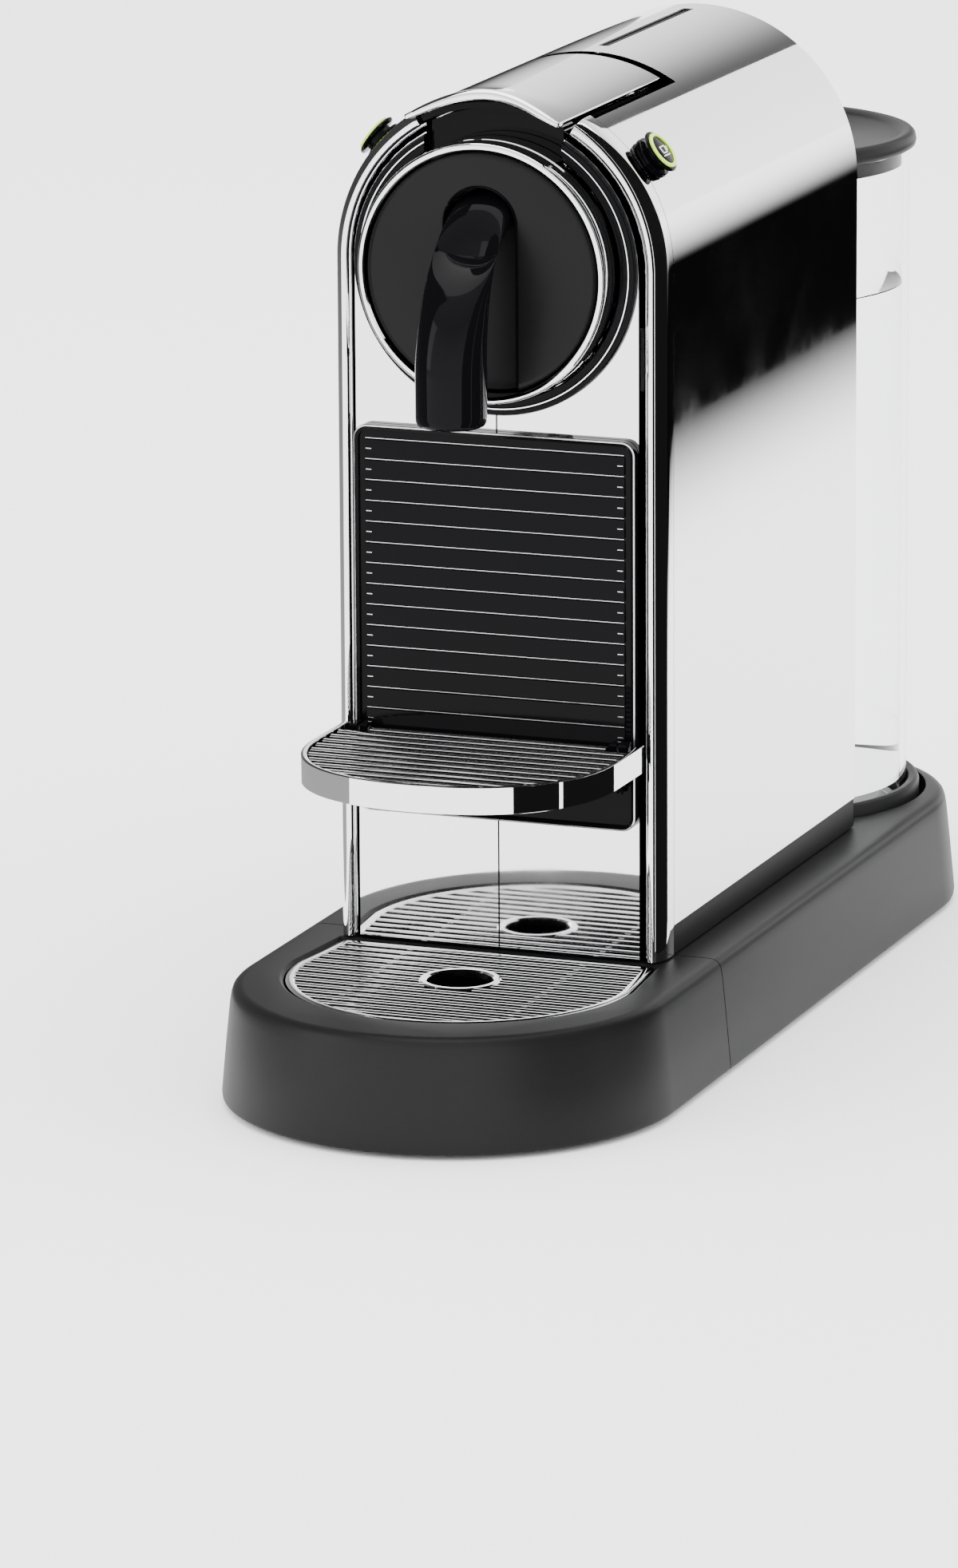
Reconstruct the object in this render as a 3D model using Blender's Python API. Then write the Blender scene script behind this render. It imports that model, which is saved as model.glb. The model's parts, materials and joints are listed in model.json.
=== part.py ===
"""Pod coffee machine: a chromed arch over a long black base, with a clear tank behind.

Frame: +X is the viewer's right, the spout side faces -Y, +Z is up, and the origin is on the
table under the middle of the machine. Lengths below are millimetres; solid() makes metres.
"""
import math

import bmesh
import bpy
from mathutils import Matrix, Vector

MM = 0.001
GAP = 0.3            # between pieces that touch
X, Y, Z = "x", "y", "z"

# ---- driving dimensions -------------------------------------------------------------
BASE_END = 121.0     # centres of the base's round ends, in front of and behind the origin
BASE_LOW = 1.5       # lower edge of the skirt, above the table
DECK_Z = 33.6        # top of the base
DECK_THICK = 2.4
SKIRT_HALF = 57.5    # inside of the skirt
SPLIT_Y = -73.3      # where the drip base meets the rear base
BASE_SIDE = ((BASE_LOW, 64.5), (3.0, 65.0), (18.0, 63.6), (30.4, 62.0), (32.8, 60.4),
             (DECK_Z, 58.0))       # height and half width, from the table up

ARCH_R = 48.7        # outside of the body shell
ARCH_Z = 229.3       # centre of the arch
SHELL_THICK = 1.8
SHELL_FOOT = 42.7
SHELL_FRONT = -75.2
SHELL_REAR = 84.4
PANEL_Y = -85.4      # plane of the mirror panels
PANEL_HALF = 42.0
PANEL_THICK = 1.6
NOTCH_HALF = 20.3    # finger notch over the head
BRIDGE_R = 44.3      # top of the frame's bridge behind that notch

HEAD_R = 36.6        # outside of the chrome neck round the head
HEAD_FRONT = -98.0
DISC_R = 33.9
SLOT_HALF = 11.0     # channel in the disc that holds the spout
SLOT_TOP = 254.0
SPOUT_HALF = 10.2
SPOUT_LOW = 191.0
SPOUT_REACH = -120.4

LEVER_HALF_DEG = 28.0      # half width of the lever plate, as an angle of the arch
OPENING_HALF_DEG = 32.0    # half width of its opening in the shell
LEVER_REAR = -14.0
OPENING_REAR = -8.9
LIP_SIDE = -96.5
LIP_MIDDLE = -92.5
LIP_RISE = 1.6
PIVOT = (-22.0, 264.0)     # lever hinge, as (y, z)
LEVER_OPEN = math.radians(80.0)
CAGE_PER_RADIAN = 22.0     # cage travel for each radian of the lever
CAGE_PIN = (-56.0, 247.6)  # (y, z) with the lever shut
PIN_R = 2.0
AXLE_R = 2.5

BUTTON_DEG = 53.0          # from the top of the arch
BUTTON_Y = -67.6
BUTTON_HOLE_R = 5.6

DRAWER_HALF = 41.9
DRAWER_LOW = 72.0
DRAWER_HIGH = 182.9
DRAWER_FACE = -88.0

CUP_HALF = 45.0
CUP_DEPTH = 44.5         # from the widest line to the front
CUP_SQUARENESS = 0.87    # power of the outline: 1 would be an ellipse
CUP_Y = -110.0
CUP_TOP = 97.8
CUP_REAR = -89.6
CUP_HINGE = (-91.5, 96.0)

GRID_R = 49.5
GRID_Y = -114.3
GRID_REAR = -86.4
GRID_REAR_HALF = 46.8
FLOAT_Y = -116.4
FLOAT_R = 9.35

TANK_R = 48.5
TANK_Y = 126.5
TANK_FLAT = 87.2
TANK_LOW = 30.0
TANK_HIGH = 229.4
LID_R = 50.5
LID_HIGH = 234.5
SOCKET_R = 54.5
SOCKET_FLOOR = 26.5


# ---- scene and materials ------------------------------------------------------------
for old in list(bpy.data.objects):
    bpy.data.objects.remove(old, do_unlink=True)


def material(name, color, roughness, metallic=0.0):
    made = bpy.data.materials.new(name)
    made.use_nodes = True
    shader = made.node_tree.nodes["Principled BSDF"]
    shader.inputs["Base Color"].default_value = (*color, 1.0)
    shader.inputs["Roughness"].default_value = roughness
    shader.inputs["Metallic"].default_value = metallic
    return made


CHROME = material("chrome", (0.80, 0.80, 0.81), 0.06, 1.0)
STEEL = material("steel", (0.62, 0.62, 0.62), 0.30, 1.0)
ALUMINIUM = material("cast_aluminium", (0.55, 0.56, 0.58), 0.45, 1.0)
GLOSS_BLACK = material("gloss_black", (0.012, 0.012, 0.013), 0.12)
MATT_BLACK = material("matt_black", (0.030, 0.030, 0.032), 0.55)
LIME = material("lime_ring", (0.45, 0.72, 0.06), 0.35)
CLEAR = material("clear_plastic", (0.90, 0.93, 0.94), 0.05)
RUBBER = material("rubber", (0.020, 0.020, 0.020), 0.85)
WHITE = material("white_plastic", (0.75, 0.75, 0.73), 0.45)
BOARD_GREEN = material("circuit_board", (0.03, 0.20, 0.09), 0.50)
HOSE = material("hose", (0.80, 0.82, 0.80), 0.40)


# ---- mesh helpers -------------------------------------------------------------------
def at(axis, u, v, w):
    """A point w along an axis, with u and v across it."""
    return {X: (w, u, v), Y: (u, w, v), Z: (u, v, w)}[axis]


def solid(name, points, faces, look, frame=None, sharp=32.0):
    """One object from points in millimetres, with its faces turned outwards."""
    if frame is not None:
        points = [frame @ Vector(p) for p in points]
    mesh = bpy.data.meshes.new(name)
    mesh.from_pydata([Vector(p) * MM for p in points], [], faces)
    work = bmesh.new()
    work.from_mesh(mesh)
    bmesh.ops.recalc_face_normals(work, faces=work.faces)
    work.to_mesh(mesh)
    work.free()
    mesh.shade_smooth()
    mesh.set_sharp_from_angle(angle=math.radians(sharp))
    mesh.materials.append(look)
    made = bpy.data.objects.new(name, mesh)
    bpy.context.collection.objects.link(made)
    return made


def loft(name, rings, look, closed=False, frame=None):
    """Joins loops of equal length; the first and last are capped unless the loft is closed."""
    size = len(rings[0])
    points = [p for ring in rings for p in ring]
    faces = []
    for i in range(len(rings) if closed else len(rings) - 1):
        low, high = i * size, (i + 1) % len(rings) * size
        for j in range(size):
            k = (j + 1) % size
            faces.append((low + j, low + k, high + k, high + j))
    if not closed:
        faces.append(tuple(range(size)))
        faces.append(tuple(len(points) - size + j for j in range(size)))
    return solid(name, points, faces, look, frame)


def prism(name, outline, low, high, axis, look):
    return loft(name, [[at(axis, u, v, w) for u, v in outline] for w in (low, high)], look)


def block(name, low, high, look):
    outline = [(low[0], low[1]), (high[0], low[1]), (high[0], high[1]), (low[0], high[1])]
    return prism(name, outline, low[2], high[2], Z, look)


def circle(radius, steps, centre=(0.0, 0.0)):
    turns = [2.0 * math.pi * i / steps for i in range(steps)]
    return [(centre[0] + radius * math.cos(t), centre[1] + radius * math.sin(t)) for t in turns]


def spun(name, profile, look, axis=Z, centre=(0.0, 0.0), steps=24, frame=None):
    """A solid of revolution from (radius, height) pairs that leave the axis free."""
    rings = [[at(axis, u, v, h) for u, v in circle(r, steps, centre)] for r, h in profile]
    return loft(name, rings, look, frame=frame)


def turned(name, profile, look, axis=Z, centre=(0.0, 0.0), steps=24, frame=None):
    """A ring: a closed loop of (radius, height) pairs carried once round the axis."""
    rings = []
    for i in range(steps):
        turn = 2.0 * math.pi * i / steps
        c, s = math.cos(turn), math.sin(turn)
        rings.append([at(axis, centre[0] + r * c, centre[1] + r * s, h) for r, h in profile])
    return loft(name, rings, look, closed=True, frame=frame)


def cup(name, outer, inner, low, floor, high, look):
    """An open-topped vessel between two plan outlines."""
    levels = ((outer, low), (outer, high), (inner, high), (inner, floor))
    return loft(name, [[(x, y, z) for x, y in outline] for outline, z in levels], look)


def arc(centre, radius, start, end, steps):
    """Points from one angle to another, in degrees."""
    turns = [math.radians(start + (end - start) * i / steps) for i in range(steps + 1)]
    return [(centre[0] + radius * math.cos(t), centre[1] + radius * math.sin(t)) for t in turns]


def rounded_box(half, low, high, radius, steps=4):
    """Outline of a box with round corners, symmetric about the first axis's zero."""
    corners = ((half - radius, high - radius, 0), (radius - half, high - radius, 90),
               (radius - half, low + radius, 180), (half - radius, low + radius, 270))
    outline = []
    for u, v, turn in corners:
        outline += arc((u, v), radius, turn, turn + 90, steps)
    return outline


def arch_sweep(name, section, foot, look, steps=36):
    """Carries (radius, y) pairs up one side, round the arch and down the other side."""
    rings = [[(r, y, foot) for r, y in section]]
    for i in range(steps + 1):
        turn = math.pi * i / steps
        rings.append([(r * math.cos(turn), y, ARCH_Z + r * math.sin(turn)) for r, y in section])
    rings.append([(-r, y, foot) for r, y in section])
    return loft(name, rings, look)


def tube(name, route, radius, look, sides=8):
    """A round bar along a smooth list of points."""
    points = [Vector(p) for p in route]
    side = Vector((1.0, 0.0, 0.0))
    rings = []
    for i, point in enumerate(points):
        ahead = (points[min(i + 1, len(points) - 1)] - points[max(i - 1, 0)]).normalized()
        side = (side - ahead * side.dot(ahead)).normalized()
        other = ahead.cross(side)
        rings.append([point + side * u + other * v for u, v in circle(radius, sides)])
    return loft(name, rings, look)


def smooth_route(knots, steps=5):
    """A Catmull-Rom curve through hand-set points."""
    points = [Vector(knots[0])] + [Vector(k) for k in knots] + [Vector(knots[-1])]
    route = []
    for i in range(1, len(points) - 2):
        a, b, c, d = points[i - 1:i + 3]
        for j in range(steps):
            t = j / steps
            route.append(0.5 * (2 * b + (c - a) * t + (2 * a - 5 * b + 4 * c - d) * t ** 2
                                + (3 * b - a - 3 * c + d) * t ** 3))
    return route + [points[-2]]


def guide(piece):
    piece.hide_render = True
    piece.display_type = "WIRE"
    return piece


def shape(piece, operation, *tools):
    """Adds one exact Boolean for each tool, and keeps the tool as a guide."""
    for tool in tools:
        step = piece.modifiers.new(tool.name, "BOOLEAN")
        step.operation = operation
        step.solver = "EXACT"
        step.object = guide(tool)
    return piece


def cut(piece, *tools):
    return shape(piece, "DIFFERENCE", *tools)


def weld(piece, *tools):
    return shape(piece, "UNION", *tools)


def body_empty(name, place, parent=None):
    """An empty on a joint's axis, for the pieces that move with it."""
    made = bpy.data.objects.new(name, None)
    bpy.context.collection.objects.link(made)
    made.location = Vector(place) * MM
    if parent is not None:
        made.parent = parent
        made.location -= parent.location
    return made


def carry(empty, place, *pieces):
    """Parents pieces, whose points are in the machine's frame, to an empty at a place."""
    for piece in pieces:
        piece.parent = empty
        piece.location = -Vector(place) * MM


# ---- outlines in plan ---------------------------------------------------------------
def base_outline(half, back, front_end):
    """The base's plan at one half width: a round end, and a straight cut at y = back."""
    side = -1.0 if front_end else 1.0
    steps = 28
    outline = [(half, back)]
    for i in range(steps + 1):
        turn = math.pi * i / steps
        outline.append((half * math.cos(turn), side * (BASE_END + half * math.sin(turn))))
    return outline + [(-half, back)]


def grid_outline(inset):
    """The drip grid's plan: a half circle with nearly straight sides running to the body."""
    front = arc((0.0, GRID_Y), GRID_R - inset, 180.0, 360.0, 24)
    rear = GRID_REAR - inset
    return front + [(GRID_REAR_HALF - inset, rear), (inset - GRID_REAR_HALF, rear)]


def cup_outline(inset, rear=CUP_REAR):
    """The cup support's plan: a squared half ellipse with a straight rear edge."""
    half, depth = CUP_HALF - inset, CUP_DEPTH - inset
    front = []
    for u, v in arc((0.0, 0.0), 1.0, 180.0, 360.0, 22):
        reach = abs(u) ** CUP_SQUARENESS
        front.append((math.copysign(half * reach, u), CUP_Y - depth * abs(v) ** CUP_SQUARENESS))
    return front + [(half, rear), (-half, rear)]


def tank_outline(radius, flat):
    """A circle cut off by the flat that faces the body."""
    edge = math.degrees(math.asin((flat - TANK_Y) / radius))
    return arc((0.0, TANK_Y), radius, edge, 180.0 - edge, 28)


def arch_outline(radius, foot, steps=24):
    return [(radius, foot)] + arc((0.0, ARCH_Z), radius, 0.0, 180.0, steps) + [(-radius, foot)]


# ---- base ---------------------------------------------------------------------------
def rear_base():
    rings = [[(x, y, z) for x, y in base_outline(half, SPLIT_Y, False)] for z, half in BASE_SIDE]
    base = loft("rear_base", rings, MATT_BLACK)
    inside = base_outline(SKIRT_HALF, SPLIT_Y + 2.8, False)
    low_room = prism("rear_base_low_room", inside, -1.0, SOCKET_FLOOR - 3.0, Z, MATT_BLACK)
    high_room = block("rear_base_high_room", (-SKIRT_HALF, SPLIT_Y + 2.8, 20.0),
                      (SKIRT_HALF, 66.0, DECK_Z - DECK_THICK), MATT_BLACK)
    socket = prism("rear_base_socket", tank_outline(SOCKET_R, SHELL_REAR + 0.8),
                   SOCKET_FLOOR, DECK_Z + 1.0, Z, MATT_BLACK)
    water_way = spun("rear_base_water_way", ((3.2, 15.0), (3.2, 30.0)), MATT_BLACK,
                     centre=(0.0, VALVE_Y), steps=16)
    flat = block("rear_base_gland_flat", (-8.0, 184.0, 7.0), (8.0, 190.0, 21.0), MATT_BLACK)
    gland_hole = spun("rear_base_gland_hole", ((4.6, 170.0), (4.6, 190.0)), MATT_BLACK, Y,
                      (0.0, GLAND_Z), 20)
    return cut(base, low_room, high_room, socket, water_way, flat, gland_hole)


GLAND_Z = 14.0
VALVE_Y = 104.0
FOOT_PLACES = {"front_left": (-44.0, -56.0), "front_right": (44.0, -56.0),
               "rear_left": (-34.0, 152.0), "rear_right": (34.0, 152.0)}
FLOOR_LOW = 3.2
FLOOR_HIGH = 5.2


def bottom_plate():
    outline = base_outline(SKIRT_HALF - GAP, SPLIT_Y + 2.8 + GAP, False)
    return prism("bottom_plate", outline, FLOOR_LOW, FLOOR_HIGH, Z, MATT_BLACK)


def feet():
    for name, place in FOOT_PLACES.items():
        profile = ((8.2, 0.0), (9.0, 0.8), (9.0, FLOOR_LOW - GAP))
        spun("foot_" + name, profile, RUBBER, centre=place, steps=16)


def cord_gland():
    profile = ((2.6, 172.0), (4.2, 172.0), (4.2, 184.3), (6.2, 184.3), (6.2, 185.4), (5.4, 185.9),
               (2.6, 185.9))
    turned("cord_gland", profile, RUBBER, Y, (0.0, GLAND_Z), 20)


def drip_base():
    back = SPLIT_Y - GAP
    rings = [[(x, y, z) for x, y in base_outline(half, back, True)] for z, half in BASE_SIDE]
    shell = loft("drip_base", rings, MATT_BLACK)
    inside = base_outline(SKIRT_HALF, back - 2.8, True)
    room = prism("drip_base_room", inside, -1.0, DECK_Z - DECK_THICK, Z, MATT_BLACK)
    mouth = prism("drip_base_mouth", grid_outline(-0.5), 25.0, DECK_Z + 1.0, Z, MATT_BLACK)
    return cut(shell, room, mouth)


def drip_bowl():
    return cup("drip_bowl", grid_outline(0.9), grid_outline(2.5), 4.8, 6.4, 30.9, MATT_BLACK)


def slot_rows(first, pitch, count, centre_y, radius, sides):
    """Lengthwise halves of the slots in a round-fronted grid, nearest the front first."""
    for i in range(count):
        y = first + pitch * i
        if y < centre_y:
            yield y, math.sqrt(radius ** 2 - (centre_y - y) ** 2)
        else:
            yield y, sides


def slotted(name, plate, rows, width, low, high, hole=None):
    """Cuts rows of slots, leaving whole the land round a hole given as (y, radius)."""
    for i, (y, half) in enumerate(rows):
        spans = [(-half, half)]
        if hole and abs(y - hole[0]) < hole[1] + 0.5 * width:
            reach = math.sqrt(max(hole[1] ** 2 - max(abs(y - hole[0]) - 0.5 * width, 0.0) ** 2, 1.0))
            spans = [(-half, -reach), (reach, half)]
        for j, (left, right) in enumerate(spans):
            tool = block("%s_slot_%d_%d" % (name, i, j), (left, y - 0.5 * width, low - 1.0),
                         (right, y + 0.5 * width, high + 1.0), STEEL)
            cut(plate, tool)
    return plate


def drip_grid():
    low, high = 31.2, 33.3
    plate = prism("drip_grid", grid_outline(0.0), low, high, Z, CHROME)
    rows = slot_rows(-158.6, 5.2, 14, GRID_Y, GRID_R - 2.4, GRID_REAR_HALF - 2.6)
    slotted("drip_grid", plate, rows, 2.7, low, high, (FLOAT_Y, FLOAT_R + 2.4))
    hole = spun("drip_grid_hole", ((FLOAT_R, low - 1.0), (FLOAT_R, high + 1.0)), CHROME,
                centre=(0.0, FLOAT_Y), steps=24)
    return cut(plate, hole)


# ---- body ---------------------------------------------------------------------------
def radial_frame(side, angle, y):
    """A frame whose third axis leaves the arch at an angle from its top."""
    turn = Matrix.Rotation(side * math.radians(angle), 4, "Y")
    return Matrix.Translation((0.0, y, ARCH_Z)) @ turn


def wedge(name, half_deg, rear, front, look):
    """A slice of the arch's top, from inside the shell to outside."""
    outline = arc((0.0, ARCH_Z), ARCH_R + 8.0, 90.0 - half_deg, 90.0 + half_deg, 12)
    outline += arc((0.0, ARCH_Z), ARCH_R - 8.0, 90.0 + half_deg, 90.0 - half_deg, 12)
    return prism(name, outline, front, rear, Y, look)


def body_shell():
    inner = ARCH_R - SHELL_THICK
    section = [(ARCH_R, SHELL_FRONT), (ARCH_R, SHELL_REAR), (inner, SHELL_REAR), (inner, SHELL_FRONT)]
    shell = arch_sweep("body_shell", section, SHELL_FOOT, CHROME, steps=36)
    cut(shell, wedge("body_shell_lever_opening", OPENING_HALF_DEG, OPENING_REAR, SHELL_FRONT - 5.0,
                     CHROME))
    cut(shell, block("body_shell_vent", (-1.6, 1.5, 270.0), (1.6, 74.5, 285.0), CHROME))
    for side, word in ((-1, "left"), (1, "right")):
        hole = spun("body_shell_button_hole_" + word, ((BUTTON_HOLE_R, 40.0), (BUTTON_HOLE_R, 56.0)), CHROME, steps=24,
                    frame=radial_frame(side, BUTTON_DEG, BUTTON_Y))
        cut(shell, hole)
    return shell


def plinth_strip():
    outer = ARCH_R - 0.3
    inner = outer - 2.4
    loops = []
    for half, inset in ((outer, 0.0), (inner, 2.4)):
        loops.append([(half, SHELL_FRONT + inset), (half, SHELL_REAR - inset),
                      (-half, SHELL_REAR - inset), (-half, SHELL_FRONT + inset)])
    levels = ((0, DECK_Z + 0.5), (0, SHELL_FOOT - GAP), (1, SHELL_FOOT - GAP), (1, DECK_Z + 0.5))
    rings = [[(x, y, z) for x, y in loops[i]] for i, z in levels]
    return loft("plinth_strip", rings, MATT_BLACK, closed=True)


def chassis():
    tray = block("chassis", (-45.4, -72.2, 34.4), (45.4, 81.4, 71.6), MATT_BLACK)
    return cut(tray, block("chassis_room", (-43.0, -90.0, 36.8), (43.0, 79.0, 80.0), MATT_BLACK))


def side_frames():
    for side, word in ((-1, "left"), (1, "right")):
        near, far = sorted((side * 43.0, side * 45.4))
        block("side_frame_" + word, (near, -70.0, 72.0), (far, 79.0, 226.0), MATT_BLACK)


def front_frame():
    """The rounded bead round the front, open at the top where fingers reach the lever."""
    back = SHELL_FRONT - GAP
    section = [(48.7, back), (48.5, -79.5), (47.2, -83.4), (44.8, -86.0), (42.9, -86.0), (42.3, -85.2),
               (42.3, back)]
    frame = arch_sweep("front_frame", section, DECK_Z + 0.6, CHROME, steps=36)
    lever_room = arc((0.0, ARCH_Z), ARCH_R + 8.0, 60.0, 120.0, 12)
    lever_room += arc((0.0, ARCH_Z), BRIDGE_R, 120.0, 60.0, 12)
    return cut(frame,
               block("front_frame_notch", (-NOTCH_HALF, -95.0, 255.0), (NOTCH_HALF, -78.2, 290.0), CHROME),
               prism("front_frame_lever_room", lever_room, -95.0, -70.0, Y, CHROME))


def front_panels():
    for side, word in ((-1, "left"), (1, "right")):
        name = "front_panel_" + word
        panel = prism(name, arch_outline(PANEL_HALF, DECK_Z + 0.6), PANEL_Y, PANEL_Y + PANEL_THICK, Y,
                      CHROME)
        far = sorted((side * 0.15, -side * 60.0))
        cut(panel,
            block(name + "_other_half", (far[0], -95.0, 0.0), (far[1], -70.0, 300.0), CHROME),
            block(name + "_drawer_mouth", (-40.4, -95.0, 73.6), (40.4, -70.0, 181.3), CHROME),
            spun(name + "_head_hole", ((HEAD_R + 0.5, -95.0), (HEAD_R + 0.5, -70.0)), CHROME, Y,
                 (0.0, ARCH_Z), 40),
            block(name + "_notch", (-NOTCH_HALF, -95.0, 255.0), (NOTCH_HALF, -70.0, 290.0), CHROME))


def front_cowl():
    """Black wall behind the finger notch."""
    outline = arc((0.0, ARCH_Z), 44.2, 64.0, 116.0, 12) + [(-19.8, 252.0), (19.8, 252.0)]
    return prism("front_cowl", outline, -83.4, -81.6, Y, GLOSS_BLACK)


def rear_cover():
    half = ARCH_R - SHELL_THICK - GAP
    cover = prism("rear_cover", arch_outline(half, SHELL_FOOT + 0.2), 81.8, 84.2, Y, MATT_BLACK)
    for i in range(6):
        z = 242.0 + 5.0 * i
        half_slot = 12.0 - 1.2 * i
        cut(cover, block("rear_cover_vent_%d" % i, (-half_slot, 70.0, z), (half_slot, 90.0, z + 1.8),
                         MATT_BLACK))
    return cover


def vent_insert():
    return block("vent_insert", (-1.2, 1.9, 275.2), (1.2, 74.1, 277.3), GLOSS_BLACK)


# ---- head ---------------------------------------------------------------------------
def head_ring():
    profile = [(HEAD_R + 0.4, -85.7), (41.7, -85.7), (41.7, -86.9), (41.2, -87.4), (HEAD_R + 0.4, -87.4)]
    ring = turned("head_ring", profile, GLOSS_BLACK, Y, (0.0, ARCH_Z), 40)
    return cut(ring, block("head_ring_notch", (-NOTCH_HALF, -95.0, 255.0),
                           (NOTCH_HALF, -70.0, 290.0), GLOSS_BLACK))


def head_neck():
    profile = [(34.4, -84.0), (HEAD_R, -84.0), (HEAD_R, -96.9), (36.0, HEAD_FRONT), (34.9, HEAD_FRONT),
               (34.4, -97.2)]
    return turned("head_neck", profile, CHROME, Y, (0.0, ARCH_Z), 40)


def slot_outline(half, top, foot):
    return [(half, foot)] + arc((0.0, top - half), half, 0.0, 180.0, 14) + [(-half, foot)]


def head_disc():
    profile = ((DISC_R, -86.0), (DISC_R, -96.6), (DISC_R - 0.5, -97.3), (DISC_R - 1.6, -97.6))
    disc = spun("head_disc", profile, GLOSS_BLACK, Y, (0.0, ARCH_Z), 40)
    return cut(disc, prism("head_disc_channel", slot_outline(SLOT_HALF, SLOT_TOP, 190.0), -100.0,
                           -88.4, Y, GLOSS_BLACK))


def spout():
    """A round-shouldered arm that leans out of the channel and turns down."""
    steps = 8
    reach = -SPOUT_REACH - 97.0
    rings = []
    for i in range(steps + 1):
        t = i / steps
        lean = math.sin(0.5 * math.pi * t) ** 1.25
        middle = Vector((0.0, -97.0 - reach * lean, 240.5 - 30.0 * t ** 1.15))
        tilt = math.radians(34.0) * (1.0 - t) ** 1.3
        depth = 6.6 + 3.0 * t
        rings.append(spout_ring(middle, tilt, SPOUT_HALF - 1.0 * (1.0 - t), depth))
    bottom = Vector((0.0, SPOUT_REACH, 0.0))
    for z, grow in ((204.0, 0.0), (192.2, 0.0), (SPOUT_LOW, -1.0)):
        rings.append(spout_ring(bottom + Vector((0.0, 0.0, z)), 0.0, SPOUT_HALF + grow, 9.6 + grow))
    arm = loft("spout", rings, GLOSS_BLACK)
    for i, x in enumerate((-4.2, 4.2)):
        cut(arm, spun("spout_outlet_%d" % i, ((1.9, 186.0), (1.9, 203.0)), GLOSS_BLACK,
                      centre=(x, SPOUT_REACH), steps=10))
    return arm


def spout_ring(middle, tilt, half, depth):
    """A squarish oval across the spout; tilt leans its plane back."""
    ring = []
    for i in range(16):
        turn = 2.0 * math.pi * i / 16
        c, s = math.cos(turn), math.sin(turn)
        u = half * math.copysign(abs(c) ** 0.8, c)
        v = depth * math.copysign(abs(s) ** 0.8, s)
        ring.append(middle + Vector((u, v * math.cos(tilt), v * math.sin(tilt))))
    return ring


# ---- lever and brewing chamber ------------------------------------------------------
def lever_cover():
    """A slice of the arch whose front edge runs forward as a raised lip."""
    steps = 14
    rings = []
    for i in range(steps + 1):
        side = 2.0 * i / steps - 1.0
        turn = math.radians(90.0 + LEVER_HALF_DEG * side)
        swell = math.cos(0.5 * math.pi * side) ** 2
        front = LIP_SIDE + (LIP_MIDDLE - LIP_SIDE) * swell
        top = [(0.0, LEVER_REAR), (0.0, -76.0), (0.35, -83.0), (0.9, front + 3.0), (0.9, front)]
        outer = [(ARCH_R + LIP_RISE * swell * lift - (0.5 if y == front else 0.0), y)
                 for lift, y in top]
        inner = [(r - 1.5, y) for r, y in reversed(outer)]
        rings.append([(r * math.cos(turn), y, ARCH_Z + r * math.sin(turn)) for r, y in outer + inner])
    return loft("lever_cover", rings, CHROME)


def cam_point(turn):
    """Where the cage's pin lies in the lever's own frame, with the lever raised by turn."""
    y = CAGE_PIN[0] - PIVOT[0] + CAGE_PER_RADIAN * turn
    z = CAGE_PIN[1] - PIVOT[1]
    c, s = math.cos(turn), math.sin(turn)
    return Vector((y * c - z * s, y * s + z * c))


def cam_slot():
    """The path of the cage's pin through both cam plates, as a cutter."""
    steps, spare, half = 14, math.radians(3.6), PIN_R + GAP
    rings = []
    for i in range(steps + 1):
        turn = -spare + (LEVER_OPEN + 2.0 * spare) * i / steps
        here = cam_point(turn)
        along = (cam_point(turn + 0.01) - cam_point(turn - 0.01)).normalized()
        across = Vector((-along.y, along.x)) * half
        near, far = here + across, here - across
        rings.append([(x, PIVOT[0] + p.x, PIVOT[1] + p.y)
                      for x, p in ((-23.0, near), (23.0, near), (23.0, far), (-23.0, far))])
    return loft("lever_liner_cam_slot", rings, GLOSS_BLACK)


def cam_plate(name, side):
    """The cheek under the lever that carries the cam slot."""
    front = CAGE_PIN[0] - 10.0
    outline = [(PIVOT[0] + 2.0, 270.6), (front, 270.6), (front, 252.0)]
    for i in range(13):
        turn = math.radians(-6.0) + (LEVER_OPEN + math.radians(12.0)) * i / 12
        here = cam_point(turn)
        edge = here * (1.0 + 5.4 / here.length)
        outline.append((PIVOT[0] + edge.x, PIVOT[1] + edge.y))
    outline += [(PIVOT[0] + 19.0, PIVOT[1] - 3.0), (PIVOT[0] + 8.0, PIVOT[1] + 4.0)]
    near, far = sorted((side * 18.5, side * 21.0))
    return prism(name, outline, near, far, X, GLOSS_BLACK)


def lever_liner():
    half = 26.5
    outline = arc((0.0, ARCH_Z), 46.6, 90.0 - half, 90.0 + half, 10)
    outline += arc((0.0, ARCH_Z), 44.9, 90.0 + half, 90.0 - half, 10)
    liner = prism("lever_liner", outline, -88.5, LEVER_REAR - 2.0, Y, GLOSS_BLACK)
    weld(liner, cam_plate("lever_liner_cam_left", -1), cam_plate("lever_liner_cam_right", 1))
    axle_hole = spun("lever_liner_axle_hole", ((AXLE_R + GAP, -30.0), (AXLE_R + GAP, 30.0)),
                     GLOSS_BLACK, X, PIVOT, 20)
    return cut(liner, cam_slot(), axle_hole)


def lever_axle():
    return spun("lever_axle", ((AXLE_R, -25.4), (AXLE_R, 25.4)), STEEL, X, PIVOT, 20)


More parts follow.
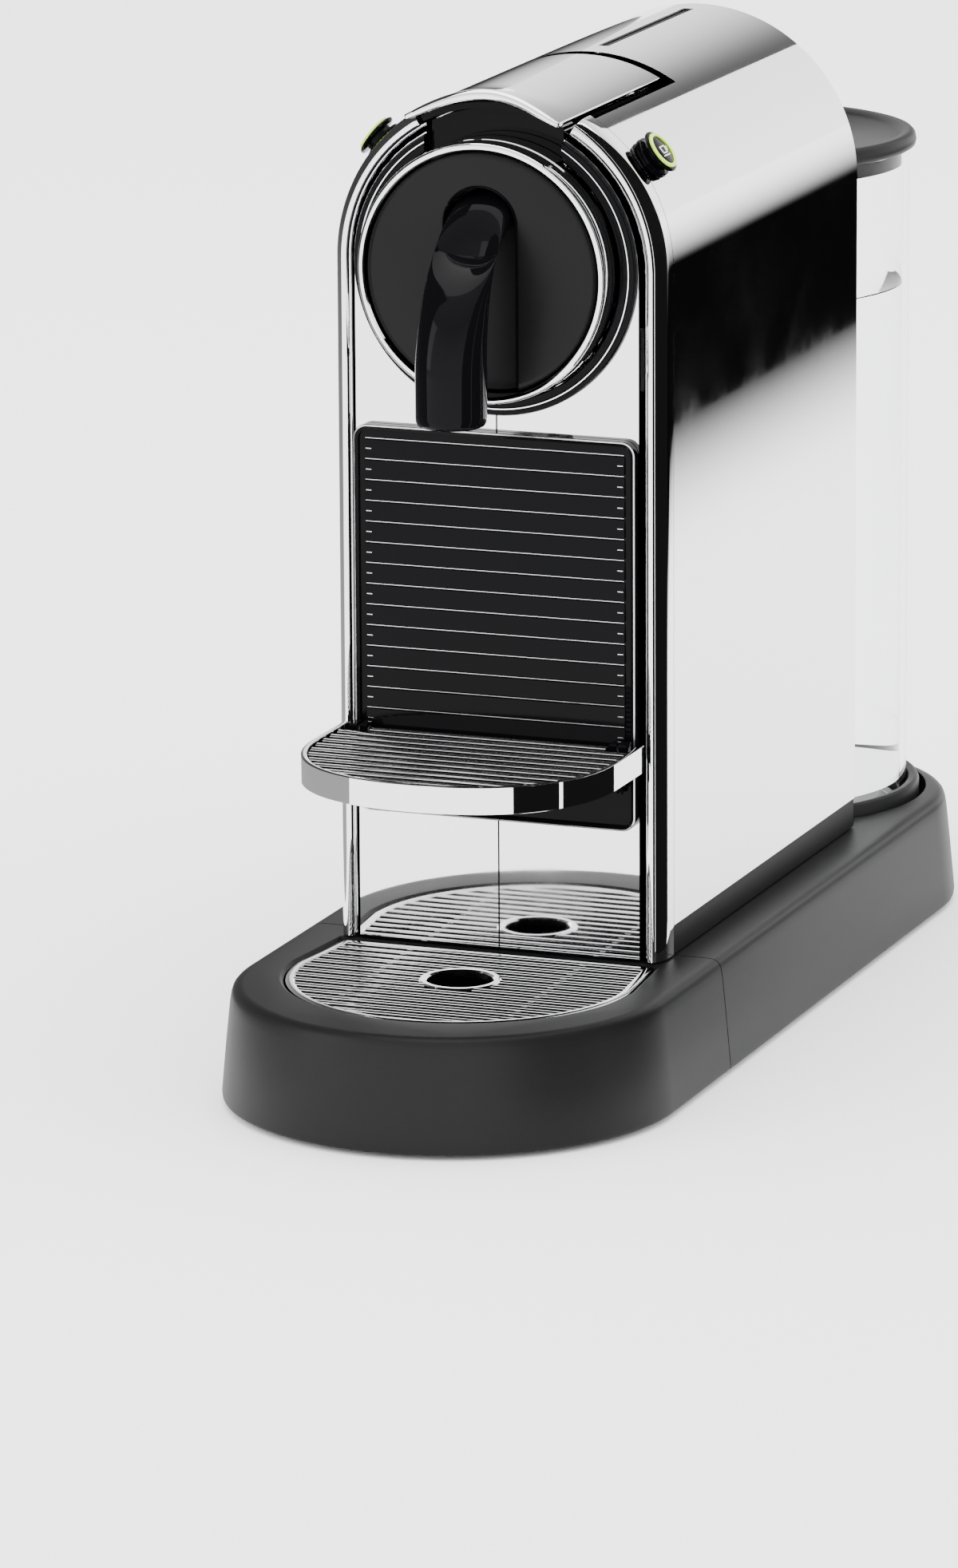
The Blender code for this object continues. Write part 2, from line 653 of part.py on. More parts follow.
def brew_frame():
    """Two cheeks and a rear bridge: the lever's bearings and the cage's guide slots."""
    low, high, front, back, outer, thick = 205.0, 268.0, -74.8, 8.0, 25.6, 2.2
    inner = outer - thick
    corners = ((outer, inner, front, front), (outer, inner, back, back - thick),
               (-outer, -inner, back, back - thick), (-outer, -inner, front, front))
    rings = []
    for far, near, y_far, y_near in corners:
        rings.append([(far, y_far, low), (far, y_far, high), (near, y_near, high), (near, y_near, low)])
    frame = loft("brew_frame", rings, MATT_BLACK)
    travel = CAGE_PER_RADIAN * LEVER_OPEN
    guide_slot = block("brew_frame_guide_slot",
                       (-30.0, CAGE_PIN[0] - PIN_R - 0.8, CAGE_PIN[1] - PIN_R - 0.2),
                       (30.0, CAGE_PIN[0] + travel + PIN_R + 0.8, CAGE_PIN[1] + PIN_R + 0.2),
                       MATT_BLACK)
    bearings = spun("brew_frame_bearings", ((AXLE_R + 0.1, -30.0), (AXLE_R + 0.1, 30.0)), MATT_BLACK,
                    X, PIVOT, 20)
    return cut(frame, guide_slot, bearings)


def brew_head():
    profile = ((21.5, -80.8), (21.5, -68.2), (19.0, -66.9))
    return spun("brew_head", profile, MATT_BLACK, Y, (0.0, ARCH_Z), 20)


def extraction_plate():
    profile = ((20.0, -66.6), (20.0, -64.4), (18.6, -63.6))
    plate = spun("extraction_plate", profile, STEEL, Y, (0.0, ARCH_Z), 20)
    for i, place in enumerate(circle(10.0, 4, (0.0, ARCH_Z))):
        cut(plate, spun("extraction_plate_hole_%d" % i, ((1.2, -70.0), (1.2, -60.0)), STEEL, Y, place,
                        6))
    return plate


def brew_cage():
    """The cup that pushes the capsule on to the plate, with a lug for the cross pin."""
    outer, inner, front, back = 17.8, 15.4, -63.0, -34.6
    rings = []
    for radius, y in ((outer, back), (outer, front), (inner, front), (inner - 2.6, back - 3.0)):
        rings.append([at(Y, u, v, y) for u, v in circle(radius, 20, (0.0, ARCH_Z))])
    cage = loft("brew_cage", rings, ALUMINIUM)
    lug = block("brew_cage_lug", (-17.5, CAGE_PIN[0] - 3.8, 245.4), (17.5, CAGE_PIN[0] + 3.8, 251.0),
                ALUMINIUM)
    hole = spun("brew_cage_pin_hole", ((PIN_R + 0.1, -20.0), (PIN_R + 0.1, 20.0)), ALUMINIUM, X,
                CAGE_PIN, 16)
    return cut(weld(cage, lug), hole)


def cage_pin():
    return spun("cage_pin", ((PIN_R, -25.3), (PIN_R, 25.3)), STEEL, X, CAGE_PIN, 16)


# ---- buttons ------------------------------------------------------------------------
def button(side, word):
    frame = radial_frame(side, BUTTON_DEG, BUTTON_Y)
    collar = [(4.6, 44.8), (5.3, 44.8), (5.3, 49.2), (6.2, 49.4), (6.2, 50.3), (5.9, 50.6), (4.6, 50.6)]
    turned("button_collar_" + word, collar, GLOSS_BLACK, steps=18, frame=frame)
    cap = ((4.2, 44.0), (4.2, 52.2), (6.5, 52.3), (6.5, 52.9), (6.2, 53.2))
    cap_piece = spun("button_cap_" + word, cap, GLOSS_BLACK, steps=18, frame=frame)
    ring = [(4.4, 53.4), (5.5, 53.4), (5.4, 54.0), (4.4, 54.0)]
    ring_piece = turned("button_ring_" + word, ring, LIME, steps=18, frame=frame)
    spring_piece = button_spring("button_spring_" + word, frame)
    place = frame @ Vector((0.0, 0.0, ARCH_R))
    empty = body_empty("button_body_" + word, place)
    carry(empty, place, cap_piece, ring_piece, spring_piece)


def button_spring(name, frame):
    turns, steps, radius, low, high = 2, 8, 2.6, 39.2, 43.2
    count = turns * steps
    route = []
    for i in range(count + 1):
        turn = 2.0 * math.pi * i / steps
        height = low + (high - low) * i / count
        route.append(frame @ Vector((radius * math.cos(turn), radius * math.sin(turn), height)))
    return tube(name, route, 0.35, STEEL, sides=4)


# ---- pod drawer and cup support -----------------------------------------------------
RIB_FIRST = 86.9     # height of the lowest groove
RIB_PITCH = 5.94
RIB_COUNT = 16


def drawer_front():
    outline = rounded_box(DRAWER_HALF, DRAWER_LOW, DRAWER_HIGH, 4.0)
    front = prism("drawer_front", outline, DRAWER_FACE, PANEL_Y - GAP, Y, GLOSS_BLACK)
    for i in range(RIB_COUNT):
        z = RIB_FIRST + RIB_PITCH * i
        groove = block("drawer_front_groove_%d" % i, (-38.0, -92.0, z - 0.6),
                       (38.0, DRAWER_FACE + 0.8, z + 0.6), GLOSS_BLACK)
        cut(front, groove)
    return front


def drawer_bin():
    outer = rounded_box(38.4, -83.0, -10.0, 5.0, 3)
    inner = rounded_box(36.8, -81.4, -11.6, 3.4, 3)
    bin_piece = cup("drawer_bin", outer, inner, 75.2, 76.8, 150.0, MATT_BLACK)
    front_wall = block("drawer_bin_front_wall", (-39.6, PANEL_Y, 75.0), (39.6, -82.2, 180.0), MATT_BLACK)
    return weld(bin_piece, front_wall)


def cup_bracket():
    """Fixed half of the cup support's hinge, on the drawer's face."""
    bar = block("cup_bracket", (-38.4, -90.2, 83.0), (38.4, DRAWER_FACE - GAP, 88.6), GLOSS_BLACK)
    for side, word in ((-1, "left"), (1, "right")):
        near, far = sorted((side * 36.2, side * 38.4))
        weld(bar, block("cup_bracket_lug_" + word, (near, -93.9, 84.0), (far, -89.0, 98.2),
                        GLOSS_BLACK))
    hole = spun("cup_bracket_hole", ((1.6, -45.0), (1.6, 45.0)), GLOSS_BLACK, X, CUP_HINGE, 20)
    return cut(bar, hole)


def cup_rim():
    outer, inner = cup_outline(0.0), cup_outline(1.5)
    rings = []
    for i in range(len(outer) - 1):
        (x0, y0), (x1, y1) = outer[i], inner[i]
        rings.append([(x0, y0, 90.2), (x0, y0, CUP_TOP - 0.6), (0.5 * (x0 + x1), 0.5 * (y0 + y1), CUP_TOP),
                      (x1, y1, CUP_TOP - 0.4), (x1, y1, 90.2)])
    left = [(-x, y, z) for x, y, z in rings[-1]]
    return loft("cup_rim", [left] + rings, CHROME)


def hinge_notch(name, side):
    near, far = sorted((side * 35.8, side * 46.0))
    return block(name, (near, -95.4, 80.0), (far, -80.0, 110.0), CHROME)


def cup_grid():
    low, high = 95.3, 97.2
    plate = prism("cup_grid", cup_outline(1.8, CUP_REAR - 0.4), low, high, Z, CHROME)
    rows = slot_rows(-147.6, 5.6, 10, CUP_Y, CUP_DEPTH - 4.4, CUP_DEPTH - 4.6)
    slotted("cup_grid", plate, rows, 2.5, low, high)
    return cut(plate, hinge_notch("cup_grid_notch_left", -1), hinge_notch("cup_grid_notch_right", 1))


def cup_tray():
    plate = prism("cup_tray", cup_outline(1.8, CUP_REAR - 0.4), 90.4, 92.4, Z, GLOSS_BLACK)
    for side, word in ((-1, "left"), (1, "right")):
        near, far = sorted((side * 35.8, side * 38.8))
        cut(plate, block("cup_tray_notch_" + word, (near, -95.4, 80.0), (far, -80.0, 110.0), GLOSS_BLACK))
        near, far = sorted((side * 39.0, side * 41.5))
        weld(plate, block("cup_tray_ear_" + word, (near, -94.4, 91.0), (far, -90.2, 98.4), GLOSS_BLACK))
    hole = spun("cup_tray_hole", ((1.6, -45.0), (1.6, 45.0)), GLOSS_BLACK, X, CUP_HINGE, 20)
    return cut(plate, hole)


def cup_pins():
    pins = []
    for side, word in ((-1, "left"), (1, "right")):
        ends = sorted((side * 36.0, side * 41.3))
        pins.append(spun("cup_hinge_pin_" + word, ((1.5, ends[0]), (1.5, ends[1])), STEEL, X, CUP_HINGE,
                         20))
    return pins


# ---- water tank ---------------------------------------------------------------------
def water_tank():
    outer = tank_outline(TANK_R, TANK_FLAT)
    inner = tank_outline(TANK_R - 1.8, TANK_FLAT + 1.8)
    tank = cup("water_tank", outer, inner, TANK_LOW, TANK_LOW + 2.0, TANK_HIGH, CLEAR)
    hole = spun("water_tank_valve_hole", ((7.0, 25.0), (7.0, 40.0)), CLEAR, centre=(0.0, VALVE_Y),
                steps=14)
    return cut(tank, hole)


def tank_valve():
    low = TANK_LOW - 0.6
    profile = [(2.2, low), (6.6, low), (6.6, TANK_LOW + 2.3), (9.0, TANK_LOW + 2.3),
               (9.0, TANK_LOW + 3.6), (6.4, TANK_LOW + 7.0), (2.2, TANK_LOW + 7.0)]
    return turned("tank_valve", profile, RUBBER, centre=(0.0, VALVE_Y), steps=14)


def valve_seal():
    low = SOCKET_FLOOR + GAP
    profile = [(4.0, low), (8.0, low), (8.0, low + 1.4), (7.0, low + 2.2), (4.0, low + 2.2)]
    return turned("valve_seal", profile, RUBBER, centre=(0.0, VALVE_Y), steps=14)


def tank_collar():
    """The raised ring that the tank drops into."""
    flat = SHELL_REAR + 1.1
    outer, inner = tank_outline(52.4, flat), tank_outline(TANK_R + 0.8, flat)
    low, high = SOCKET_FLOOR + GAP, 37.0
    rings = []
    for (x0, y0), (x1, y1) in zip(outer, inner):
        rings.append([(x0, y0, low), (x0, y0, high - 0.8), (0.7 * x0 + 0.3 * x1, 0.7 * y0 + 0.3 * y1, high),
                      (x1, y1, high - 0.3), (x1, y1, low)])
    return loft("tank_collar", rings, MATT_BLACK)


def tank_lid():
    flat = TANK_FLAT - 1.2
    plug = tank_outline(TANK_R - 2.4, TANK_FLAT + 2.4)
    under, wide = tank_outline(LID_R - 0.8, flat), tank_outline(LID_R, flat)
    rim, well = tank_outline(LID_R - 2.4, flat + 2.0), tank_outline(LID_R - 5.4, flat + 4.6)
    levels = ((plug, 224.8), (plug, TANK_HIGH + GAP), (under, TANK_HIGH + GAP), (wide, 231.2),
              (wide, 233.2), (rim, LID_HIGH), (well, 232.8))
    return loft("tank_lid", [[(x, y, z) for x, y in outline] for outline, z in levels], MATT_BLACK)


# ---- works inside the body ----------------------------------------------------------
def pump():
    profile = ((9.0, 96.0), (16.5, 97.0), (16.5, 139.0), (10.0, 140.0), (10.0, 150.0), (4.5, 151.0),
               (4.5, 160.0))
    return spun("pump", profile, WHITE, centre=PUMP_PLACE, steps=20)


PUMP_PLACE = (12.0, 38.0)


def thermoblock():
    outline = rounded_box(24.0, 14.0, 66.0, 5.0, 3)
    return prism("thermoblock", outline, 176.0, 204.0, Z, ALUMINIUM)


def control_board():
    return block("control_board", (-42.4, -2.0, 84.0), (-40.8, 72.0, 168.0), BOARD_GREEN)


def hoses():
    knots = ((0.0, 66.0, 40.0), (0.0, 60.0, 52.0), (4.0, 46.0, 68.0), (12.0, 38.0, 82.0),
             (12.0, 38.0, 95.5))
    tube("hose_to_pump", smooth_route(knots, 3), 2.6, HOSE, 6)
    knots = ((0.0, 24.0, 204.5), (0.0, 24.0, 212.0), (0.0, 21.0, 222.0), (0.0, 14.0, 228.0),
             (0.0, 8.6, 229.3))
    tube("hose_to_brewer", smooth_route(knots, 3), 2.2, HOSE, 6)


# ---- assembly -----------------------------------------------------------------------
rear_base()
bottom_plate()
feet()
cord_gland()
body_shell()
plinth_strip()
chassis()
side_frames()
front_frame()
front_panels()
front_cowl()
rear_cover()
vent_insert()
head_ring()
head_neck()
head_disc()
spout()
brew_frame()
brew_head()
extraction_plate()
valve_seal()
tank_collar()
pump()
thermoblock()
control_board()
hoses()

base_place = (0.0, SPLIT_Y, DECK_Z)
base_body = body_empty("drip_base_body", base_place)
carry(base_body, base_place, drip_base(), drip_bowl())
grid_place = (0.0, GRID_Y, 33.3)
carry(body_empty("drip_grid_body", grid_place, base_body), grid_place, drip_grid())

drawer_place = (0.0, DRAWER_FACE, DRAWER_LOW)
drawer_body = body_empty("drawer_body", drawer_place)
carry(drawer_body, drawer_place, drawer_front(), drawer_bin(), cup_bracket())
cup_place = (0.0, *CUP_HINGE)
carry(body_empty("cup_support_body", cup_place, drawer_body), cup_place, cup_rim(), cup_grid(),
      cup_tray(), *cup_pins())

lever_place = (0.0, *PIVOT)
carry(body_empty("lever_body", lever_place), lever_place, lever_cover(), lever_liner(), lever_axle())
cage_place = (0.0, *CAGE_PIN)
carry(body_empty("cage_body", cage_place), cage_place, brew_cage(), cage_pin())

button(-1, "left")
button(1, "right")

tank_place = (0.0, TANK_Y, TANK_LOW)
tank_body = body_empty("tank_body", tank_place)
carry(tank_body, tank_place, water_tank(), tank_valve())
lid_place = (0.0, TANK_Y, TANK_HIGH)
carry(body_empty("tank_lid_body", lid_place, tank_body), lid_place, tank_lid())
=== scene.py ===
# %% [markdown]
# # A chromed pod coffee machine
# The machine is a mirror-chrome arch on a long matt base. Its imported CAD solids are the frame:
# they hold every size and every joint. This lesson gives each piece its visible form and finish,
# and each new piece rides on the body that it belongs to.

# %% Load the frame
import json
import math

import bmesh
import bpy
from mathutils import Matrix, Vector


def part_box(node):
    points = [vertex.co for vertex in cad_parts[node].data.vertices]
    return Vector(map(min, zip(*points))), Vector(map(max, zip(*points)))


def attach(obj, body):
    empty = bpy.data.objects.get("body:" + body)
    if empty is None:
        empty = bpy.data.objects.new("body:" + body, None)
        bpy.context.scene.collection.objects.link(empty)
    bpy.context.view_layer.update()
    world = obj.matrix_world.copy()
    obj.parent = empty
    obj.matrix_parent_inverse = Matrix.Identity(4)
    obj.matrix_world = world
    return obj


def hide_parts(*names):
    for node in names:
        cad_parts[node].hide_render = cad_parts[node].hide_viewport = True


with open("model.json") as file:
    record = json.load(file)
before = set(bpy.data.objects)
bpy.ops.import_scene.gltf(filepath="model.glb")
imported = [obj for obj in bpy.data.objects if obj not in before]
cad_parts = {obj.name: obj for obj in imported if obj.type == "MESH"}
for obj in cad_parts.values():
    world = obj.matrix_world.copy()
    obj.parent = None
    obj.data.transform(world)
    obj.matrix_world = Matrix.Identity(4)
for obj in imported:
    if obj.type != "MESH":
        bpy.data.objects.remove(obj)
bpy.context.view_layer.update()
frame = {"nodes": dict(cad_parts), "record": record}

MM = 0.001


# %% [markdown]
# ## Sizes
# Sizes could be typed in again here, but then they could drift from the CAD. Most of them are
# read from the frame's boxes instead. The few that a box can't say are named, in millimetres.

# %% Sizes from the frame
def node_box(name):
    low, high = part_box(name)
    return Vector(low) / MM, Vector(high) / MM


shell_low, shell_high = node_box("body_shell")
ARCH_R = shell_high.x
ARCH_Z = shell_high.z - ARCH_R
DISC_R = node_box("head_disc")[1].x
NECK_R = node_box("head_neck")[1].x
DECK_Z = node_box("rear_base")[1].z
PANEL_Y = node_box("front_panel_left")[0].y
TANK_R = node_box("water_tank")[1].x
TANK_Y = node_box("water_tank")[1].y - TANK_R
BASE_END = 121.0         # where the base's straight sides meet its round ends
BUTTON_DEG = 53.0        # a button's angle from the top of the arch
BUTTON_Y = -67.6
NOTCH_HALF = 20.3        # the finger notch under the lever's lip
SHARP_DEG = 35.0         # edges sharper than this stay crisp
print("arch radius %.1f, arch centre %.1f, tank radius %.1f mm" % (ARCH_R, ARCH_Z, TANK_R))


# %% [markdown]
# ## The camera
# The view is from the right and a little above, through a long lens, so that the machine's
# verticals stay nearly upright. A roll of a third of a degree is all that the lens needs.

# %% Camera
def add_camera():
    aim = Vector((-38.4, 0.0, 59.2)) * MM
    turn, rise, distance = math.radians(20.871), math.radians(13.687), 2.6405
    back = Vector((math.sin(turn) * math.cos(rise), -math.cos(turn) * math.cos(rise), math.sin(rise)))
    data = bpy.data.cameras.new("camera")
    data.lens = 208.1
    data.sensor_width = 36.0
    data.clip_start = 0.05
    made = bpy.data.objects.new("camera", data)
    bpy.context.collection.objects.link(made)
    made.location = aim + back * distance
    made.rotation_mode = "QUATERNION"
    roll = Matrix.Rotation(math.radians(-0.325), 3, back)
    made.rotation_quaternion = (roll @ (-back).to_track_quat("-Z", "Y").to_matrix()).to_quaternion()
    bpy.context.scene.camera = made
    return made


camera = add_camera()
print("camera at", [round(v, 3) for v in camera.location])


# %% [markdown]
# ## Finishes
# Chrome shows little but what stands round it, so its own detail is faint: a breath of smudge in
# the roughness. Moulded plastic has a fine spark texture instead. Both effects could be drawn
# again in each material, but a node group is built once and each finish gives it its own values.

# %% Node groups: smudge and moulded grain
def new_group(name, inputs, outputs):
    group = bpy.data.node_groups.new(name, "ShaderNodeTree")
    for label, kind, value in inputs:
        group.interface.new_socket(label, in_out="INPUT", socket_type=kind).default_value = value
    for label, kind in outputs:
        group.interface.new_socket(label, in_out="OUTPUT", socket_type=kind)
    return group, group.nodes.new("NodeGroupInput"), group.nodes.new("NodeGroupOutput")


def smudge_group():
    """Roughness that wanders between a clean and a smudged value."""
    group, given, gives = new_group(
        "smudge", (("Scale", "NodeSocketFloat", 30.0), ("Clean", "NodeSocketFloat", 0.04),
                   ("Smudged", "NodeSocketFloat", 0.10)),
        (("Roughness", "NodeSocketFloat"),))
    nodes, links = group.nodes, group.links
    place = nodes.new("ShaderNodeTexCoord")
    noise = nodes.new("ShaderNodeTexNoise")
    noise.inputs["Detail"].default_value = 6.0
    noise.inputs["Roughness"].default_value = 0.62
    spread = nodes.new("ShaderNodeMapRange")
    spread.inputs["From Min"].default_value = 0.45
    spread.inputs["From Max"].default_value = 0.75
    pick = nodes.new("ShaderNodeMapRange")
    links.new(place.outputs["Object"], noise.inputs["Vector"])
    links.new(given.outputs["Scale"], noise.inputs["Scale"])
    links.new(noise.outputs["Fac"], spread.inputs["Value"])
    links.new(spread.outputs["Result"], pick.inputs["Value"])
    links.new(given.outputs["Clean"], pick.inputs["To Min"])
    links.new(given.outputs["Smudged"], pick.inputs["To Max"])
    links.new(pick.outputs["Result"], gives.inputs["Roughness"])
    return group


def grain_group():
    """Height and colour drift of a moulded surface with a fine spark texture."""
    group, given, gives = new_group(
        "moulded_grain", (("Scale", "NodeSocketFloat", 1500.0),
                          ("Dark", "NodeSocketColor", (0.02, 0.02, 0.02, 1.0)),
                          ("Light", "NodeSocketColor", (0.03, 0.03, 0.03, 1.0))),
        (("Height", "NodeSocketFloat"), ("Color", "NodeSocketColor")))
    nodes, links = group.nodes, group.links
    place = nodes.new("ShaderNodeTexCoord")
    fine = nodes.new("ShaderNodeTexNoise")
    fine.inputs["Detail"].default_value = 3.0
    slow = nodes.new("ShaderNodeTexNoise")
    slow.inputs["Scale"].default_value = 22.0
    slow.inputs["Detail"].default_value = 5.0
    mix = nodes.new("ShaderNodeMix")
    mix.data_type = "RGBA"
    links.new(place.outputs["Object"], fine.inputs["Vector"])
    links.new(place.outputs["Object"], slow.inputs["Vector"])
    links.new(given.outputs["Scale"], fine.inputs["Scale"])
    links.new(slow.outputs["Fac"], mix.inputs["Factor"])
    links.new(given.outputs["Dark"], mix.inputs["A"])
    links.new(given.outputs["Light"], mix.inputs["B"])
    links.new(fine.outputs["Fac"], gives.inputs["Height"])
    links.new(mix.outputs["Result"], gives.inputs["Color"])
    return group


SMUDGE = smudge_group()
GRAIN = grain_group()
print("groups:", SMUDGE.name, GRAIN.name)


# %% [markdown]
# Each finish is one Principled shader. Polished finishes take their roughness from the smudge
# group, and moulded ones take colour and a shallow bump from the grain group. The blacks are very
# dark with little specular, because a paler black looks grey under so much white light.

# %% Finishes
def new_finish(name, color, roughness, metallic=0.0, **sockets):
    made = bpy.data.materials.new(name)
    made.use_nodes = True
    shader = made.node_tree.nodes["Principled BSDF"]
    shader.inputs["Base Color"].default_value = (*color, 1.0)
    shader.inputs["Roughness"].default_value = roughness
    shader.inputs["Metallic"].default_value = metallic
    for label, value in sockets.items():
        shader.inputs[label.replace("_", " ")].default_value = value
    return made


def polish(finish, scale, clean, smudged):
    tree = finish.node_tree
    node = tree.nodes.new("ShaderNodeGroup")
    node.node_tree = SMUDGE
    for label, value in (("Scale", scale), ("Clean", clean), ("Smudged", smudged)):
        node.inputs[label].default_value = value
    tree.links.new(node.outputs["Roughness"], tree.nodes["Principled BSDF"].inputs["Roughness"])
    return finish


def mould(finish, scale, dark, light, depth):
    tree = finish.node_tree
    shader = tree.nodes["Principled BSDF"]
    node = tree.nodes.new("ShaderNodeGroup")
    node.node_tree = GRAIN
    node.inputs["Scale"].default_value = scale
    node.inputs["Dark"].default_value = (*dark, 1.0)
    node.inputs["Light"].default_value = (*light, 1.0)
    bump = tree.nodes.new("ShaderNodeBump")
    bump.inputs["Strength"].default_value = 0.35
    bump.inputs["Distance"].default_value = depth * MM
    tree.links.new(node.outputs["Color"], shader.inputs["Base Color"])
    tree.links.new(node.outputs["Height"], bump.inputs["Height"])
    tree.links.new(bump.outputs["Normal"], shader.inputs["Normal"])
    return finish


chrome = polish(new_finish("mirror_chrome", (0.86, 0.86, 0.87), 0.04, 1.0), 26.0, 0.025, 0.07)
bright_wire = polish(new_finish("polished_wire", (0.90, 0.90, 0.90), 0.12, 1.0), 90.0, 0.08, 0.20)
gloss = polish(new_finish("gloss_black", (0.002, 0.002, 0.0025), 0.08, IOR=1.15), 40.0, 0.04, 0.12)
satin = mould(new_finish("satin_black", (0.004, 0.004, 0.004), 0.30, Specular_IOR_Level=0.10), 2600.0,
              (0.003, 0.003, 0.003), (0.006, 0.006, 0.006), 0.02)
matt = mould(new_finish("matt_black", (0.006, 0.006, 0.006), 0.46, Specular_IOR_Level=0.14), 1900.0,
             (0.0035, 0.0035, 0.0038), (0.0065, 0.0065, 0.0068), 0.05)
# a deeper black: painted shade on pieces behind openings and on the ribs under the grids; on the panel seam
# it is a dark joint
seam_and_shade_matt = mould(new_finish("seam_and_shade_black", (0.003, 0.003, 0.003), 0.6, Specular_IOR_Level=0.15),
                   1500.0, (0.001, 0.001, 0.001), (0.003, 0.003, 0.003), 0.05)
lime = polish(new_finish("lime_ring", (0.44, 0.72, 0.05), 0.3), 60.0, 0.25, 0.4)
rubber = mould(new_finish("rubber", (0.02, 0.02, 0.02), 0.8), 1300.0, (0.012, 0.012, 0.012),
               (0.03, 0.03, 0.03), 0.06)
steel = polish(new_finish("satin_steel", (0.62, 0.62, 0.62), 0.3, 1.0), 120.0, 0.22, 0.42)
cast = mould(new_finish("cast_aluminium", (0.55, 0.56, 0.58), 0.45, 1.0), 900.0, (0.48, 0.49, 0.50),
             (0.60, 0.61, 0.62), 0.08)
white = mould(new_finish("white_moulding", (0.7, 0.7, 0.68), 0.45), 1200.0, (0.66, 0.66, 0.64),
              (0.76, 0.76, 0.74), 0.03)
board = mould(new_finish("circuit_board", (0.03, 0.2, 0.09), 0.5), 500.0, (0.015, 0.13, 0.05),
              (0.04, 0.24, 0.10), 0.03)
clear = polish(new_finish("clear_moulding", (1.0, 1.0, 1.0), 0.02, IOR=1.12, Transmission_Weight=1.0),
               30.0, 0.0, 0.03)
water = polish(new_finish("water", (0.97, 0.985, 0.99), 0.02, IOR=1.10, Transmission_Weight=1.0),
               30.0, 0.0, 0.01)
icon_white = polish(new_finish("icon_print", (0.78, 0.80, 0.76), 0.4), 80.0, 0.3, 0.5)
print("finishes:", len(bpy.data.materials))


# %% [markdown]
# ## Mesh tools
# The machine is made of sweeps: outlines pushed straight, and sections carried round the arch or
# round a ring. Curves with a bevel could draw some of them, but one loft function makes them all
# and leaves plain meshes. Many pieces then get a small real bevel, because a moulding's edge
# always catches a line of light.

# %% Mesh tools
def solid(name, points, faces, finish, body, slot, nodes=(), bevel=0.0, frame_of=None,
          sharp=SHARP_DEG):
    if frame_of is not None:
        points = [frame_of @ Vector(p) for p in points]
    mesh = bpy.data.meshes.new(name)
    mesh.from_pydata([Vector(p) * MM for p in points], [], faces)
    work = bmesh.new()
    work.from_mesh(mesh)
    bmesh.ops.recalc_face_normals(work, faces=work.faces)
    work.to_mesh(mesh)
    work.free()
    mesh.shade_smooth()
    mesh.set_sharp_from_angle(angle=math.radians(sharp))
    mesh.materials.append(finish)
    made = bpy.data.objects.new(name, mesh)
    bpy.context.collection.objects.link(made)
    if bevel:
        soften(made, bevel)
    if body:
        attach(made, body)
        if nodes:
            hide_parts(*nodes)
    return made


def soften(piece, width):
    edge = piece.modifiers.new("soft_edge", "BEVEL")
    edge.width = width * MM
    edge.segments = 2
    edge.limit_method = "ANGLE"
    edge.angle_limit = math.radians(38.0)
    edge.use_clamp_overlap = True


def loft_faces(count, size, closed, start=0):
    faces = []
    for i in range(count if closed else count - 1):
        low, high = start + i * size, start + (i + 1) % count * size
        for j in range(size):
            k = (j + 1) % size
            faces.append((low + j, low + k, high + k, high + j))
    if not closed:
        faces.append(tuple(start + j for j in range(size)))
        faces.append(tuple(start + (count - 1) * size + j for j in range(size)))
    return faces


def loft(name, rings, *rest, closed=False, **more):
    points = [p for ring in rings for p in ring]
    return solid(name, points, loft_faces(len(rings), len(rings[0]), closed), *rest, **more)


def gather(name, parts, *rest, **more):
    """One piece from several lofts, each given as (rings, closed)."""
    points, faces = [], []
    for rings, closed in parts:
        faces += loft_faces(len(rings), len(rings[0]), closed, len(points))
        points += [p for ring in rings for p in ring]
    return solid(name, points, faces, *rest, **more)


def at(axis, u, v, w):
    return {"x": (w, u, v), "y": (u, w, v), "z": (u, v, w)}[axis]


def arc(centre, radius, start, end, steps):
    turns = [math.radians(start + (end - start) * i / steps) for i in range(steps + 1)]
    return [(centre[0] + radius * math.cos(t), centre[1] + radius * math.sin(t)) for t in turns]


def push(outline, low, high, axis):
    return [[at(axis, u, v, w) for u, v in outline] for w in (low, high)]


def box_rings(low, high):
    outline = [(low[0], low[1]), (high[0], low[1]), (high[0], high[1]), (low[0], high[1])]
    return push(outline, low[2], high[2], "z")


def ring_of(profile, axis, centre, steps):
    rings = []
    for i in range(steps):
        t = 2.0 * math.pi * i / steps
        rings.append([at(axis, centre[0] + r * math.cos(t), centre[1] + r * math.sin(t), h)
                      for r, h in profile])
    return rings


def stack_of(profile, axis, centre, steps):
    """Full circles, one for each (radius, height), for a piece with closed ends."""
    turns = [2.0 * math.pi * i / steps for i in range(steps)]
    return [[at(axis, centre[0] + r * math.cos(t), centre[1] + r * math.sin(t), h) for t in turns]
            for r, h in profile]


def levels(outlines):
    return [[(x, y, z) for x, y in outline] for outline, z in outlines]


def arch_sweep(section, foot, steps=120):
    rings = [[(r, y, foot) for r, y in section]]
    for i in range(steps + 1):
        t = math.pi * i / steps
        rings.append([(r * math.cos(t), y, ARCH_Z + r * math.sin(t)) for r, y in section])
    return rings + [[(-r, y, foot) for r, y in section]]


def cut(piece, name, rings, frame_of=None):
    """Subtracts a loft, then forgets the tool."""
    tool = loft(name, rings, chrome, None, None, frame_of=frame_of)
    step = piece.modifiers.new(name, "BOOLEAN")
    step.operation = "DIFFERENCE"
    step.solver = "EXACT"
    step.object = tool
    with bpy.context.temp_override(object=piece, active_object=piece):
        bpy.ops.object.modifier_move_to_index(modifier=name, index=0)
        bpy.ops.object.modifier_apply(modifier=name)
    bpy.data.objects.remove(tool, do_unlink=True)
    piece.data.shade_smooth()
    piece.data.set_sharp_from_angle(angle=math.radians(SHARP_DEG))
    return piece


print("mesh tools ready")


